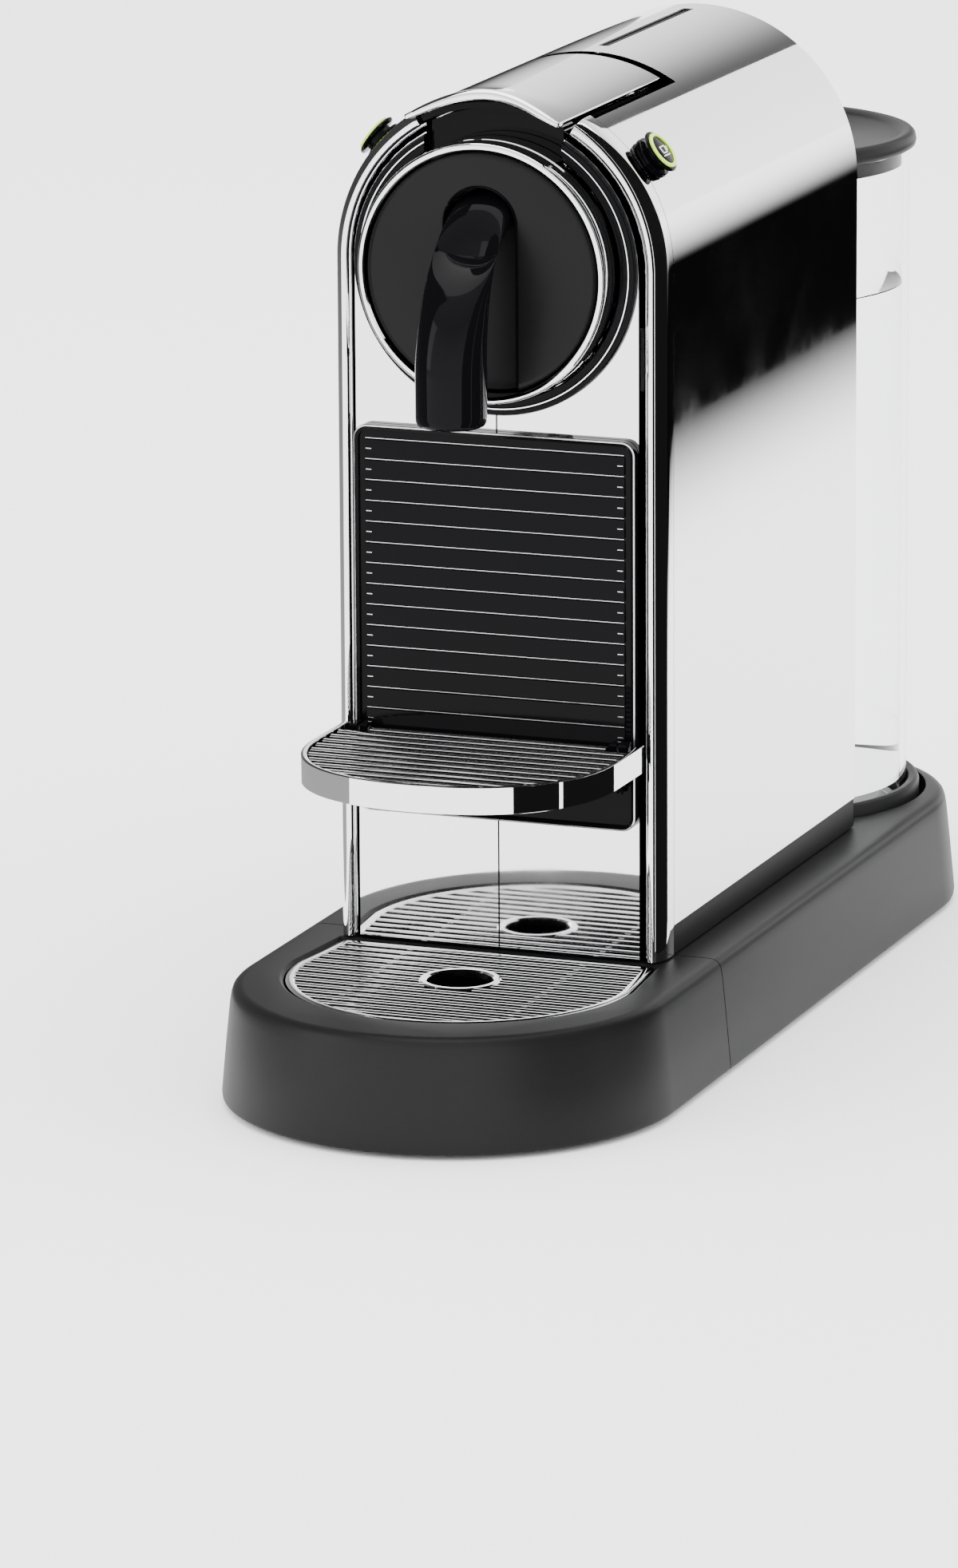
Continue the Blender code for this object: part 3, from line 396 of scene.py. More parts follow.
# %% [markdown]
# ## Body shell
# The shell is one bent sheet: straight sides and a half-round top. A coarse arch with smooth
# shading would bend the mirror's reflections at every facet, so the sweep has fine steps. The
# lever opening, the vent slot and the button holes are cut afterwards.

# %% Body shell
def radial_frame(side):
    turn = Matrix.Rotation(side * math.radians(BUTTON_DEG), 4, "Y")
    return Matrix.Translation((0.0, BUTTON_Y, ARCH_Z)) @ turn


def body_shell():
    sheet, lever_rear, hole_r = 1.8, -8.9, 5.6
    inner = ARCH_R - sheet
    section = [(ARCH_R, shell_low.y), (ARCH_R, shell_high.y), (inner, shell_high.y),
               (inner, shell_low.y)]
    piece = loft("shell_skin", arch_sweep(section, shell_low.z, 144), chrome, "machine",
                 "mirror_chrome", nodes=("body_shell",), bevel=0.35)
    wedge = arc((0.0, ARCH_Z), ARCH_R + 8.0, 58.0, 122.0, 24)
    wedge += arc((0.0, ARCH_Z), ARCH_R - 8.0, 122.0, 58.0, 24)
    cut(piece, "lever_opening", push(wedge, shell_low.y - 5.0, lever_rear, "y"))
    cut(piece, "vent", box_rings((-1.6, 1.5, 270.0), (1.6, 74.5, 285.0)))
    for side in (-1, 1):
        cut(piece, "button_hole", stack_of(((hole_r, 40.0), (hole_r, 56.0)), "z", (0.0, 0.0), 40),
            radial_frame(side))
    return piece


shell = body_shell()
print("shell faces:", len(shell.data.polygons))


# %% [markdown]
# ## Front frame and panels
# A rounded chrome bead runs round the front, and flat mirror panels lie inside it. The bead's
# nose is half an ellipse, because a true half round would stand too far forward or be too narrow.
# The panels are flat already, so they keep their CAD form, and a thin dark strip marks their seam.

# %% Front frame and panels
def notch_room(rear):
    return box_rings((-NOTCH_HALF, -95.0, 255.0), (NOTCH_HALF, rear, 290.0))


def front_frame():
    back = shell_low.y - 0.3
    middle_r, half, nose_y, nose = 45.5, 3.2, -79.4, 6.6
    section = [(48.7, back), (48.7, -78.6)]
    bends = [math.radians(-10.0 * i) for i in range(1, 18)]
    section += [(middle_r + half * math.cos(t), nose_y + nose * math.sin(t)) for t in bends if
                nose_y + nose * math.sin(t) < -80.0]
    section += [(42.3, -80.5), (42.3, back)]
    piece = loft("frame_bead", arch_sweep(section, DECK_Z + 0.6, 120), chrome, "machine",
                 "mirror_chrome", nodes=("front_frame",), bevel=0.2)
    cut(piece, "finger_notch", notch_room(-78.2))
    room = arc((0.0, ARCH_Z), ARCH_R + 8.0, 60.0, 120.0, 30)
    room += arc((0.0, ARCH_Z), 44.3, 120.0, 60.0, 30)
    return cut(piece, "lever_room", push(room, -95.0, -70.0, "y"))


front_frame()
seam = box_rings((-0.22, PANEL_Y - 0.06, DECK_Z + 1.2), (0.22, PANEL_Y + 0.8, 190.0))
loft("panel_seam", seam, seam_and_shade_matt, "machine", "matt_black")
for word in ("left", "right"):
    panel = frame["nodes"]["front_panel_" + word]
    print("panel", word, "keeps its CAD form:", len(panel.data.polygons), "faces")


# %% [markdown]
# ## Head
# The head is a set of nested rings: a black ring with a fine chrome line, a chrome neck, and the
# satin disc with the spout's channel. Each ring could be a torus or a stack of cylinders, but one
# profile carried round the axis gives every step and lip of the real turning at once.

# %% Head rings and disc
CHANNEL_HALF = 11.0
CHANNEL_TOP = 243.0      # the middle of the channel's round end


def head():
    centre = (0.0, ARCH_Z)
    ring = [(37.1, -85.7), (41.7, -85.7), (41.7, -86.7), (41.3, -87.3), (40.2, -87.4), (40.0, -86.9),
            (39.4, -86.9), (39.2, -87.4), (37.5, -87.4), (37.1, -87.0)]
    black = loft("head_ring_skin", ring_of(ring, "y", centre, 160), gloss, "machine", "gloss_black",
                 closed=True, nodes=("head_ring",))
    cut(black, "ring_notch", notch_room(-70.0))
    wire = [(39.5, -86.9), (40.0, -86.9), (39.9, -87.5), (39.6, -87.5)]
    line = loft("head_ring_line", ring_of(wire, "y", centre, 160), chrome, "machine", "mirror_chrome",
                closed=True)
    cut(line, "line_notch", notch_room(-70.0))
    neck = [(34.4, -84.0), (NECK_R, -84.0), (NECK_R, -90.6), (36.1, -91.0), (36.1, -91.5),
            (NECK_R, -91.9), (NECK_R, -96.6)]
    neck += arc((35.5, -96.9), 1.1, 0.0, -90.0, 6)
    neck += [(34.9, -97.9), (34.5, -97.4)]
    loft("head_neck_skin", ring_of(neck, "y", centre, 180), chrome, "machine", "mirror_chrome",
         closed=True, nodes=("head_neck",))
    face = [(DISC_R, -86.0), (DISC_R, -96.3), (DISC_R - 0.2, -96.9), (DISC_R - 0.8, -97.4),
            (DISC_R - 1.8, -97.6), (20.0, -97.6), (5.0, -97.6)]
    disc = loft("disc_face", stack_of(face, "y", centre, 160), satin, "machine", "gloss_black",
                nodes=("head_disc",), bevel=0.35)
    channel = [(CHANNEL_HALF, 190.0)] + arc((0.0, CHANNEL_TOP), CHANNEL_HALF, 0.0, 180.0, 32)
    channel.append((-CHANNEL_HALF, 190.0))
    return cut(disc, "channel", push(channel, -100.0, -88.4, "y"))


print("disc faces:", len(head().data.polygons))


# %% [markdown]
# ## Channel lining and spout
# The channel has a gloss lining, a bent strip just inside the cut, whose rolled front edge draws
# a thin line of light. The spout follows a quarter of an ellipse and then drops straight. Its
# section is slightly squared and swells towards the tip, which a plain curve bevel can't do.

# %% Channel lining and spout
def channel_lining():
    rings = []
    half = CHANNEL_HALF - 0.05
    strip = ((0.0, -88.6), (0.0, -97.9), (0.25, -98.1), (0.5, -97.9), (0.5, -88.6))
    path = [(half, 198.0)] + arc((0.0, CHANNEL_TOP), half, 0.0, 180.0, 40) + [(-half, 198.0)]
    for x, z in path:
        out = Vector((math.copysign(1, x), 0.0))
        if z > CHANNEL_TOP:
            out = Vector((x, z - CHANNEL_TOP)).normalized()
        rings.append([(x - out.x * d, y, z - out.y * d) for d, y in strip])
    return loft("channel_lining", rings, gloss, "machine", "gloss_black")


def spout_ring(middle, tilt, half, depth, steps=48):
    ring = []
    for i in range(steps):
        t = 2.0 * math.pi * i / steps
        c, s = math.cos(t), math.sin(t)
        u = half * math.copysign(abs(c) ** 0.9, c)
        v = depth * math.copysign(abs(s) ** 0.9, s)
        ring.append(middle + Vector((u, v * math.cos(tilt), v * math.sin(tilt))))
    return ring


def spout():
    steps, root_y, tip_y, bend_z, rise = 30, -89.0, -120.4, 206.0, 40.0
    reach = root_y - tip_y
    rings = []
    for i in range(steps):
        bend = 0.5 * math.pi * i / steps
        middle = Vector((0.0, root_y - reach * math.sin(bend), bend_z + rise * math.cos(bend)))
        tilt = math.atan2(reach * math.cos(bend), rise * math.sin(bend))
        swell = i / steps
        rings.append(spout_ring(middle, tilt, 8.8 + swell, 6.2 + 3.2 * swell))
    for z, grow in ((bend_z, 0.0), (194.0, 0.0), (192.4, -0.15), (191.4, -0.7), (191.0, -1.6)):
        rings.append(spout_ring(Vector((0.0, tip_y, z)), 0.0, 9.8 + grow, 9.4 + grow))
    piece = loft("spout_arm", rings, gloss, "machine", "gloss_black", nodes=("spout",), sharp=60.0)
    for x in (-4.2, 4.2):
        cut(piece, "outlet", stack_of(((1.9, 186.0), (1.9, 203.0)), "z", (x, tip_y), 20))
    piece.data.set_sharp_from_angle(angle=math.radians(60.0))
    return piece


channel_lining()
print("spout faces:", len(spout().data.polygons))


# %% [markdown]
# ## Lever
# The lever plate continues the arch, and its front edge swells into a lip that two fingers lift.
# It could be sculpted, but in a sweep whose sections run front to back the lip's wave is one
# formula of the angle, and the roll along its front edge follows the same formula.

# %% Lever plate
def lever_plate():
    steps, rear, half_deg = 60, -14.0, 28.0
    rings = []
    for i in range(steps + 1):
        side = 2.0 * i / steps - 1.0
        turn = math.radians(90.0 + half_deg * side)
        swell = math.cos(0.5 * math.pi * side) ** 2
        front = -96.5 + 4.0 * swell
        top = [(0.0, rear), (0.0, -40.0), (0.0, -70.0), (0.04, -76.0), (0.2, -80.0), (0.5, -84.0),
               (0.8, -87.5), (0.95, front + 1.6), (0.95, front + 0.5)]
        outer = [(ARCH_R + 1.6 * swell * lift, y) for lift, y in top]
        tip = outer[-1][0]
        outer += [(tip - 0.25, front + 0.1), (tip - 0.75, front)]
        inner = [(tip - 1.3, front + 0.2)] + [(r - 1.5, y) for r, y in reversed(outer[:-2])]
        rings.append([(r * math.cos(turn), y, ARCH_Z + r * math.sin(turn)) for r, y in outer + inner])
    return loft("lever_plate", rings, chrome, "lever", "mirror_chrome", nodes=("lever_cover",),
                bevel=0.3, sharp=50.0)


def lip_roll():
    """A rounded roll along the front edge, thickest at the middle."""
    rings, steps, sides = [], 72, 20
    for i in range(steps + 1):
        side = 2.0 * i / steps - 1.0
        turn = math.radians(90.0 + 27.4 * side)
        swell = math.cos(0.5 * math.pi * side) ** 2
        thick = 0.75 + 0.95 * math.cos(0.5 * math.pi * side) ** 0.7
        middle = Vector((ARCH_R - 0.9 + 1.2 * swell, -95.3 + 4.0 * swell))
        ring = []
        for j in range(sides):
            t = 2.0 * math.pi * j / sides
            r, y = middle.x + thick * math.cos(t), middle.y + thick * 1.25 * math.sin(t)
            ring.append((r * math.cos(turn), y, ARCH_Z + r * math.sin(turn)))
        rings.append(ring)
    return loft("lip_roll", rings, chrome, "lever", "mirror_chrome", bevel=0.3)


print("lever plate faces:", len(lever_plate().data.polygons))
print("lip roll faces:", len(lip_roll().data.polygons))


# %% [markdown]
# ## Base
# The base is one long race-track form with a slanted side and a soft shoulder. A bevelled box
# wouldn't slant, so it is a stack of outlines that narrow as they rise. It is built as the drip
# base in front and the fixed base behind, with a fine joint line between them.

# %% Base mouldings
BASE_SIDE = ((1.5, 64.3), (1.9, 64.8), (3.0, 65.0), (18.0, 63.6), (28.5, 62.5), (30.9, 62.1),
             (32.1, 61.7), (32.9, 61.0), (33.4, 59.9), (DECK_Z, 58.6))    # (height, half width)
GRID_Y = -114.3          # the middle of the drip grid's round front


def base_outline(half, back, front_end, steps=96):
    side = -1.0 if front_end else 1.0
    ends = [(half * math.cos(math.pi * i / steps),
             side * (BASE_END + half * math.sin(math.pi * i / steps))) for i in range(steps + 1)]
    return [(half, back)] + ends + [(-half, back)]


def grid_outline(inset, steps=72):
    front = arc((0.0, GRID_Y), 49.5 - inset, 180.0, 360.0, steps)
    return front + [(46.8 - inset, -86.4 - inset), (inset - 46.8, -86.4 - inset)]


def tank_outline(radius, flat, steps=96):
    edge = math.degrees(math.asin((flat - TANK_Y) / radius))
    return arc((0.0, TANK_Y), radius, edge, 180.0 - edge, steps)


def base_pieces():
    back, inner_half, end_wall = -73.3, 57.5, 2.8
    rear = loft("base_rear_skin", levels([(base_outline(h, back, False), z) for z, h in BASE_SIDE]), matt,
                "machine", "matt_black", nodes=("rear_base",), bevel=0.25)
    room = base_outline(inner_half, back + end_wall, False)
    cut(rear, "low_room", push(room, -1.0, 23.5, "z"))
    cut(rear, "high_room", box_rings((-inner_half, back + end_wall, 20.0), (inner_half, 66.0, 31.2)))
    cut(rear, "socket", push(tank_outline(54.5, 85.2), 26.5, 40.0, "z"))
    cut(rear, "gland_flat", box_rings((-8.0, 184.0, 7.0), (8.0, 190.0, 21.0)))
    cut(rear, "gland_hole", stack_of(((4.6, 170.0), (4.6, 190.0)), "y", (0.0, 14.0), 32))
    back -= 0.3
    front = loft("base_front_skin", levels([(base_outline(h, back, True), z) for z, h in BASE_SIDE]),
                 matt, "drip_tray", "matt_black", nodes=("drip_base",), bevel=0.25)
    cut(front, "room", push(base_outline(inner_half, back - end_wall, True), -1.0, 31.2, "z"))
    cut(front, "mouth", levels([(grid_outline(-0.5), 25.0), (grid_outline(-0.5), 32.6),
                                (grid_outline(-1.6), 33.7), (grid_outline(-1.6), 40.0)]))
    return rear, front


rear_skin, front_skin = base_pieces()
print("base faces:", len(rear_skin.data.polygons), len(front_skin.data.polygons))


# %% [markdown]
# ## Grids
# Both grids are polished bars across a rim. Slots drawn in a texture would look flat from the
# side, so each bar is real, with a rounded top, on a rib in the deeper black: painted shade that
# makes the gaps look deep. The drip grid's bars stop at a ring round the hole, and a bright band
# runs round the cup grid.

# %% Drip grid and cup grid
def bar_rings(left, right, y, half, low, high):
    top = [(y + half * math.cos(t), high - half * 0.55 * (1.0 - math.sin(t)))
           for t in (math.pi * i / 6 for i in range(7))]
    outline = [(y + half, low)] + top + [(y - half, low)]
    return [[(x, v, w) for v, w in outline] for x in (left, right)]


def rim_rings(outer, inner, low, high):
    rings = []
    for (x0, y0), (x1, y1) in zip(outer, inner):
        near = (0.75 * x0 + 0.25 * x1, 0.75 * y0 + 0.25 * y1, high)
        far = (0.25 * x0 + 0.75 * x1, 0.25 * y0 + 0.75 * y1, high)
        rings.append([(x0, y0, low), (x0, y0, high - 0.4), near, far, (x1, y1, high - 0.4),
                      (x1, y1, low)])
    return rings


def grid_bars(first, pitch, count, half_at, half, low, high, hole=None):
    parts = []
    for i in range(count):
        y = first + pitch * i
        reach = half_at(y)
        spans = [(-reach, reach)]
        if hole and abs(y - hole[0]) < hole[1]:
            gap = math.sqrt(hole[1] ** 2 - (y - hole[0]) ** 2)
            spans = [(-reach, -gap), (gap, reach)]
        parts += [(bar_rings(left, right, y, half, low, high), False) for left, right in spans]
    return parts


HOLE_Y = -116.4


def drip_half(y):
    """How far a bar reaches from the middle, at a place along the grid."""
    if y < GRID_Y:
        return math.sqrt(max(48.2 ** 2 - (y - GRID_Y) ** 2, 1.0))
    return 47.6 - 2.2 * (y - GRID_Y) / 28.0


def drip_grid():
    row, hole = (-161.2, 5.2, 15, drip_half), (HOLE_Y, 11.0)
    parts = [(rim_rings(grid_outline(0.0), grid_outline(2.6), 31.2, 33.3), True)]
    parts += grid_bars(*row, 1.15, 32.75, 33.2, hole)
    ring = [(9.35, 31.2), (11.6, 31.2), (11.6, 32.9), (11.1, 33.3), (9.9, 33.3), (9.35, 32.8)]
    parts.append((ring_of(ring, "z", (0.0, HOLE_Y), 72), True))
    parts += [(box_rings((x - 0.8, -157.0, 31.2), (x + 0.8, -88.0, 32.2)), False) for x in (-26.0, 26.0)]
    gather("drip_grid_bars", parts, bright_wire, "drip_cover", "mirror_chrome", nodes=("drip_grid",))
    # dark ribs under the bars: painted shade in the gaps
    shade_ribs = grid_bars(*row, 1.05, 31.2, 32.8, hole)
    gather("drip_grid_shade_ribs", shade_ribs, seam_and_shade_matt, "drip_cover", "matt_black")


CUP_HALF = 45.0
CUP_DEPTH = 44.5         # from the widest line to the front
CUP_Y = -110.0           # the widest line
CUP_SQUARENESS = 0.87    # 1 would be an ellipse


def cup_outline(inset, rear, steps=96):
    """A squared half ellipse with a straight rear edge."""
    half, depth = CUP_HALF - inset, CUP_DEPTH - inset
    front = [(math.copysign(half * abs(u) ** CUP_SQUARENESS, u), CUP_Y - depth * abs(v) ** CUP_SQUARENESS)
             for u, v in arc((0.0, 0.0), 1.0, 180.0, 360.0, steps)]
    return front + [(half, rear), (-half, rear)]


def cup_half(y):
    half, depth, narrow = CUP_HALF - 2.2, CUP_DEPTH - 2.1, 35.2
    if y < CUP_Y:
        forward = min((CUP_Y - y) / depth, 1.0) ** (1.0 / CUP_SQUARENESS)
        return half * math.sqrt(max(1.0 - forward ** 2, 0.001)) ** CUP_SQUARENESS
    return half if y < -96.0 else narrow


def cup_support():
    row, rear, wall = (-149.0, 5.6, 11, cup_half), -89.6, 1.6
    # dark ribs under the bars: painted shade in the gaps
    shade_ribs = grid_bars(*row, 1.3, 95.3, 96.8)
    gather("cup_grid_shade_ribs", shade_ribs, seam_and_shade_matt, "cup_support", "matt_black")
    parts = grid_bars(*row, 1.4, 96.75, 97.2)
    parts += [(box_rings((x - 0.8, -148.0, 95.0), (x + 0.8, -90.4, 95.9)), False) for x in (-24.0, 24.0)]
    gather("cup_grid_bars", parts, bright_wire, "cup_support", "mirror_chrome", nodes=("cup_grid",))
    outer, inner = cup_outline(0.0, rear), cup_outline(wall, rear)
    path = [(outer[-1], inner[-1])] + list(zip(outer, inner))[:-1]
    rings = []
    for (x0, y0), (x1, y1) in path:
        mid = (0.5 * (x0 + x1), 0.5 * (y0 + y1))
        rings.append([(x1, y1, 90.0), (*mid, 89.7), (x0, y0, 90.0), (x0, y0, 97.4), (*mid, 97.8),
                      (x1, y1, 97.4)])
    loft("cup_rim_band", rings, chrome, "cup_support", "mirror_chrome", nodes=("cup_rim",), sharp=60.0)


drip_grid()
cup_support()
print("grids built")


# %% [markdown]
# ## Drawer front
# The drawer's face is gloss black with shallow steps across it. Each step is a thin slat that
# leans forward at its lower edge. The line of light along it could be left to the lamps, but a
# fine steel strip in each gap paints that highlight, so that it shows from more directions.
# Short steel ticks at the slats' ends and a thin steel outline round the face paint the
# highlights of those edges too.

# %% Drawer front
def rounded(half, low, high, radius, steps=8):
    outline = []
    for u, v, turn in ((half - radius, high - radius, 0), (radius - half, high - radius, 90),
                       (radius - half, low + radius, 180), (half - radius, low + radius, 270)):
        outline += arc((u, v), radius, turn, turn + 90, steps)
    return outline


LINES = 15
LINE_FIRST = 89.9
LINE_PITCH = 5.94


def drawer_face():
    face = rounded(41.9, 72.0, 182.9, 4.0)
    parts = [(push(face, -87.2, -85.7, "y"), False)]
    rim = []
    for (x0, z0), (x1, z1) in zip(face, rounded(40.5, 73.4, 181.5, 2.8)):
        rim.append([(x0, -87.3, z0), (x0, -88.0, z0), (0.5 * (x0 + x1), -88.3, 0.5 * (z0 + z1)),
                    (x1, -88.0, z1), (x1, -87.3, z1)])
    parts.append((rim, True))
    for i in range(LINES):
        z = LINE_FIRST + LINE_PITCH * i
        slat = [(-87.1, z + 0.4), (-88.0, z + 0.5), (-87.6, z + 5.4), (-87.1, z + 5.5)]
        parts.append((push(slat, -38.6, 38.6, "x"), False))
    gather("drawer_face", parts, gloss, "pod_drawer", "gloss_black", nodes=("drawer_front",))
    # steel strips in the slat gaps, ticks at the slat ends and an outline round the face: painted
    # highlights of the edges
    highlight_strips = []
    for i in range(LINES + 1):
        z = LINE_FIRST + LINE_PITCH * i
        highlight_strips.append((box_rings((-38.4, -87.72, z - 0.06), (38.4, -87.4, z + 0.08)), False))
    for i in range(LINES):
        z = LINE_FIRST + LINE_PITCH * (i + 0.5)
        for side in (-1, 1):
            near, far = sorted((side * 36.6, side * 38.2))
            highlight_strips.append((box_rings((near, -87.95, z - 0.1), (far, -87.5, z + 0.1)), False))
    edge = []
    for (x0, z0), (x1, z1) in zip(rounded(41.75, 72.15, 182.75, 3.9), rounded(41.4, 72.5, 182.4, 3.6)):
        edge.append([(x0, -87.9, z0), (x0, -88.25, z0), (x1, -88.35, z1), (x1, -87.9, z1)])
    highlight_strips.append((edge, True))
    gather("drawer_highlight_strips", highlight_strips, steel, "pod_drawer", "steel")


drawer_face()
print("drawer face built")


# %% [markdown]
# ## Tank, water and lid
# The tank is a clear drum with a flat towards the body. Its wall needs a real inside and outside,
# because clear plastic is seen by its edges. The water could share the wall's face, but two
# faces in one place confuse the light, so it is a closed form just inside, with a raised edge.

# %% Tank
def tank_pieces():
    flat, low, high = 87.2, 30.0, 229.4
    outer, inner = tank_outline(TANK_R, flat), tank_outline(TANK_R - 1.8, flat + 1.8)
    foot = tank_outline(TANK_R - 0.8, flat + 0.6)
    tank = loft("tank_wall", levels([(foot, low), (outer, low + 0.9), (outer, high), (inner, high),
                                     (inner, low + 2.0)]), clear, "tank", "clear_plastic",
                nodes=("water_tank",))
    cut(tank, "valve_hole", stack_of(((7.0, 25.0), (7.0, 40.0)), "z", (0.0, 104.0), 32))
    water_top = 188.5
    wet, slope, inside = (tank_outline(TANK_R - gap, flat + gap) for gap in (2.1, 2.5, 3.4))
    loft("tank_water", levels([(wet, low + 7.5), (wet, water_top + 0.9), (slope, water_top + 0.4),
                               (inside, water_top)]), water, "tank", "clear_plastic")
    edge = flat - 1.2
    lid = levels([(tank_outline(46.1, 89.6), 224.8), (tank_outline(46.1, 89.6), 229.7),
                  (tank_outline(49.2, edge), 229.7), (tank_outline(50.2, edge), 230.3),
                  (tank_outline(50.5, edge), 231.6), (tank_outline(50.2, edge), 233.2),
                  (tank_outline(49.3, edge + 0.6), 234.2), (tank_outline(48.2, edge + 1.6), 234.5),
                  (tank_outline(46.6, edge + 3.2), 234.2), (tank_outline(45.4, edge + 4.4), 233.3),
                  (tank_outline(44.8, edge + 5.0), 232.7)])
    loft("lid_moulding", lid, matt, "lid", "matt_black", nodes=("tank_lid",), sharp=50.0)
    collar = []
    for (x0, y0), (x1, y1) in zip(tank_outline(52.4, 85.5), tank_outline(TANK_R + 0.8, 85.5)):
        collar.append([(x0, y0, 26.8), (x0, y0, 35.6), (0.85 * x0 + 0.15 * x1, 0.85 * y0 + 0.15 * y1, 36.6),
                       (0.6 * x0 + 0.4 * x1, 0.6 * y0 + 0.4 * y1, 37.0), (x1, y1, 36.6), (x1, y1, 26.8)])
    loft("socket_collar", collar, matt, "machine", "matt_black", nodes=("tank_collar",))


tank_pieces()
print("tank, water, lid and collar built")


# %% [markdown]
# ## Buttons
# Each button is a stepped black barrel with a lime ring and a small cup sign of this lesson's own.
# It could be modelled where it stands, but a slanted barrel is hard to measure. So it is drawn
# once in an upright frame whose third axis leaves the arch, and placed on both sides.

# %% Buttons
def cup_sign():
    """A generic cup in outline: bowl, handle and saucer, as thin raised strokes."""
    bowl = [(-1.8, 1.0), (1.5, 1.0), (1.1, -1.0), (-1.4, -1.0)]
    strokes = [(bowl[i], bowl[(i + 1) % 4]) for i in range(4)]
    strokes += [((1.5, 0.6), (2.4, 0.5)), ((2.4, 0.5), (2.2, -0.4)), ((2.2, -0.4), (1.3, -0.4)),
                ((-2.2, -1.8), (2.0, -1.8))]
    parts = []
    for (u0, v0), (u1, v1) in strokes:
        along = Vector((u1 - u0, v1 - v0)).normalized() * 0.15
        side = Vector((-along.y, along.x))
        ends = [Vector((u0, v0)) - along, Vector((u1, v1)) + along]
        outline = [ends[0] + side, ends[1] + side, ends[1] - side, ends[0] - side]
        parts.append((push([tuple(p) for p in outline], 53.8, 54.0, "z"), False))
    return parts


def button(side, word):
    around = radial_frame(side)
    body = word + "_button"
    collar = [(4.6, 44.8), (5.3, 44.8), (5.3, 48.6), (5.9, 48.8), (6.2, 49.0), (6.2, 49.5), (5.7, 49.7),
              (5.7, 49.9), (6.1, 50.1), (6.1, 50.4), (5.9, 50.6), (4.6, 50.6)]
    loft("barrel_" + word, ring_of(collar, "z", (0.0, 0.0), 64), gloss, "machine", "gloss_black",
         closed=True, nodes=("button_collar_" + word,), frame_of=around)
    cap = ((4.2, 44.0), (4.2, 52.15), (5.9, 52.2), (6.3, 52.35), (6.5, 52.7), (6.3, 53.1), (5.9, 53.3),
           (4.45, 53.3), (4.4, 53.7), (4.2, 53.8), (1.0, 53.8))
    loft("cap_" + word, stack_of(cap, "z", (0.0, 0.0), 64), gloss, body, "gloss_black",
         nodes=("button_cap_" + word,), frame_of=around)
    ring = [(4.45, 53.3), (5.5, 53.3), (5.55, 53.7), (5.3, 54.0), (4.7, 54.0), (4.45, 53.8)]
    loft("lime_" + word, ring_of(ring, "z", (0.0, 0.0), 64), lime, body, "lime_ring", closed=True,
         nodes=("button_ring_" + word,), frame_of=around)
    gather("sign_" + word, cup_sign(), icon_white, body, "white_plastic",
           frame_of=around @ Matrix.Rotation(math.radians(90.0), 4, "Z"))


button(-1, "left")
button(1, "right")
print("buttons built")


# %% [markdown]
# ## Finishes on the CAD pieces that stay
# Flat panels, feet, and the works inside have the right shape already, so nothing is gained by
# building them again. They keep their meshes and take a finish by the material slot that the
# record gives them. Dark pieces behind openings take a deeper black, which paints the shade
# that falls inside the machine.

# %% Finishes for carried-over nodes
SLOT_FINISH = {"mirror_chrome": chrome, "gloss_black": gloss, "matt_black": matt, "lime_ring": lime,
               "steel": steel, "cast_aluminium": cast, "clear_plastic": clear, "black_rubber": rubber,
               "white_plastic": white, "circuit_board": board}
# pieces behind openings, whose deeper black is painted shade
IN_PAINTED_SHADE = ("vent_insert", "chassis", "side_frame_left", "side_frame_right", "brew_frame", "brew_head",
         "drip_bowl", "drawer_bin", "bottom_plate")
slot_of = {entry["node"]: entry["material_slot"] for entry in frame["record"]["subparts"]}
for name, piece in frame["nodes"].items():
    finish = seam_and_shade_matt if name in IN_PAINTED_SHADE else SLOT_FINISH[slot_of[name]]
    piece.data.materials.clear()
    piece.data.materials.append(finish)
print("finished", len(slot_of), "carried-over nodes")


# %% [markdown]
# ## Studio
# Mirror chrome is lit by what it reflects. The floor is pale, and one large soft light hangs above
# with a smaller one to the left. More lights would only add white spots, so the darks are drawn by
# cards that the camera can't see. Cards to the right draw the black band along the shell and the
# lines in the front bead, one to the left greys the bead, and two behind grey the arch's top.

# %% Floor, cards and lights
def stage_plane(name, corners, finish, camera_sees=True):
    mesh = bpy.data.meshes.new(name)
    mesh.from_pydata([Vector(c) for c in corners], [], [(0, 1, 2, 3)])
    mesh.materials.append(finish)
    made = bpy.data.objects.new(name, mesh)
    bpy.context.collection.objects.link(made)
    made.visible_camera = camera_sees
    made.visible_diffuse = camera_sees
    made.visible_shadow = camera_sees
    made.visible_transmission = camera_sees
    return made


WHITE_LEVEL = 3.4


def glow(name, low_value, high_value, low_end, high_end, axis):
    """A card whose brightness changes smoothly along an axis."""
    made = bpy.data.materials.new(name)
    made.use_nodes = True
    nodes, links = made.node_tree.nodes, made.node_tree.links
    nodes.clear()
    place = nodes.new("ShaderNodeTexCoord")
    split = nodes.new("ShaderNodeSeparateXYZ")
    fade = nodes.new("ShaderNodeMapRange")
    fade.interpolation_type = "SMOOTHSTEP"
    for label, value in (("From Min", low_end), ("From Max", high_end), ("To Min", low_value),
                         ("To Max", high_value)):
        fade.inputs[label].default_value = value
    light = nodes.new("ShaderNodeEmission")
    out = nodes.new("ShaderNodeOutputMaterial")
    links.new(place.outputs["Object"], split.inputs["Vector"])
    links.new(split.outputs[axis], fade.inputs["Value"])
    links.new(fade.outputs["Result"], light.inputs["Strength"])
    links.new(light.outputs["Emission"], out.inputs["Surface"])
    return made


floor_finish = new_finish("pale_floor", (0.93, 0.93, 0.93), 0.40, Specular_IOR_Level=0.0)
stage_plane("floor", ((-6, -6, 0), (6, -6, 0), (6, 6, 0), (-6, 6, 0)), floor_finish)


def standing_card(name, start, end, low, high, finish):
    (x0, y0), (x1, y1) = start, end
    corners = ((x0, y0, low), (x1, y1, low), (x1, y1, high), (x0, y0, high))
    return stage_plane(name, corners, finish, camera_sees=False)


def lying_card(name, low, high, finish):
    (x0, y0), (x1, y1) = low, high
    corners = ((x0, y0, 0.001), (x1, y0, 0.001), (x1, y1, 0.001), (x0, y1, 0.001))
    return stage_plane(name, corners, finish, camera_sees=False)


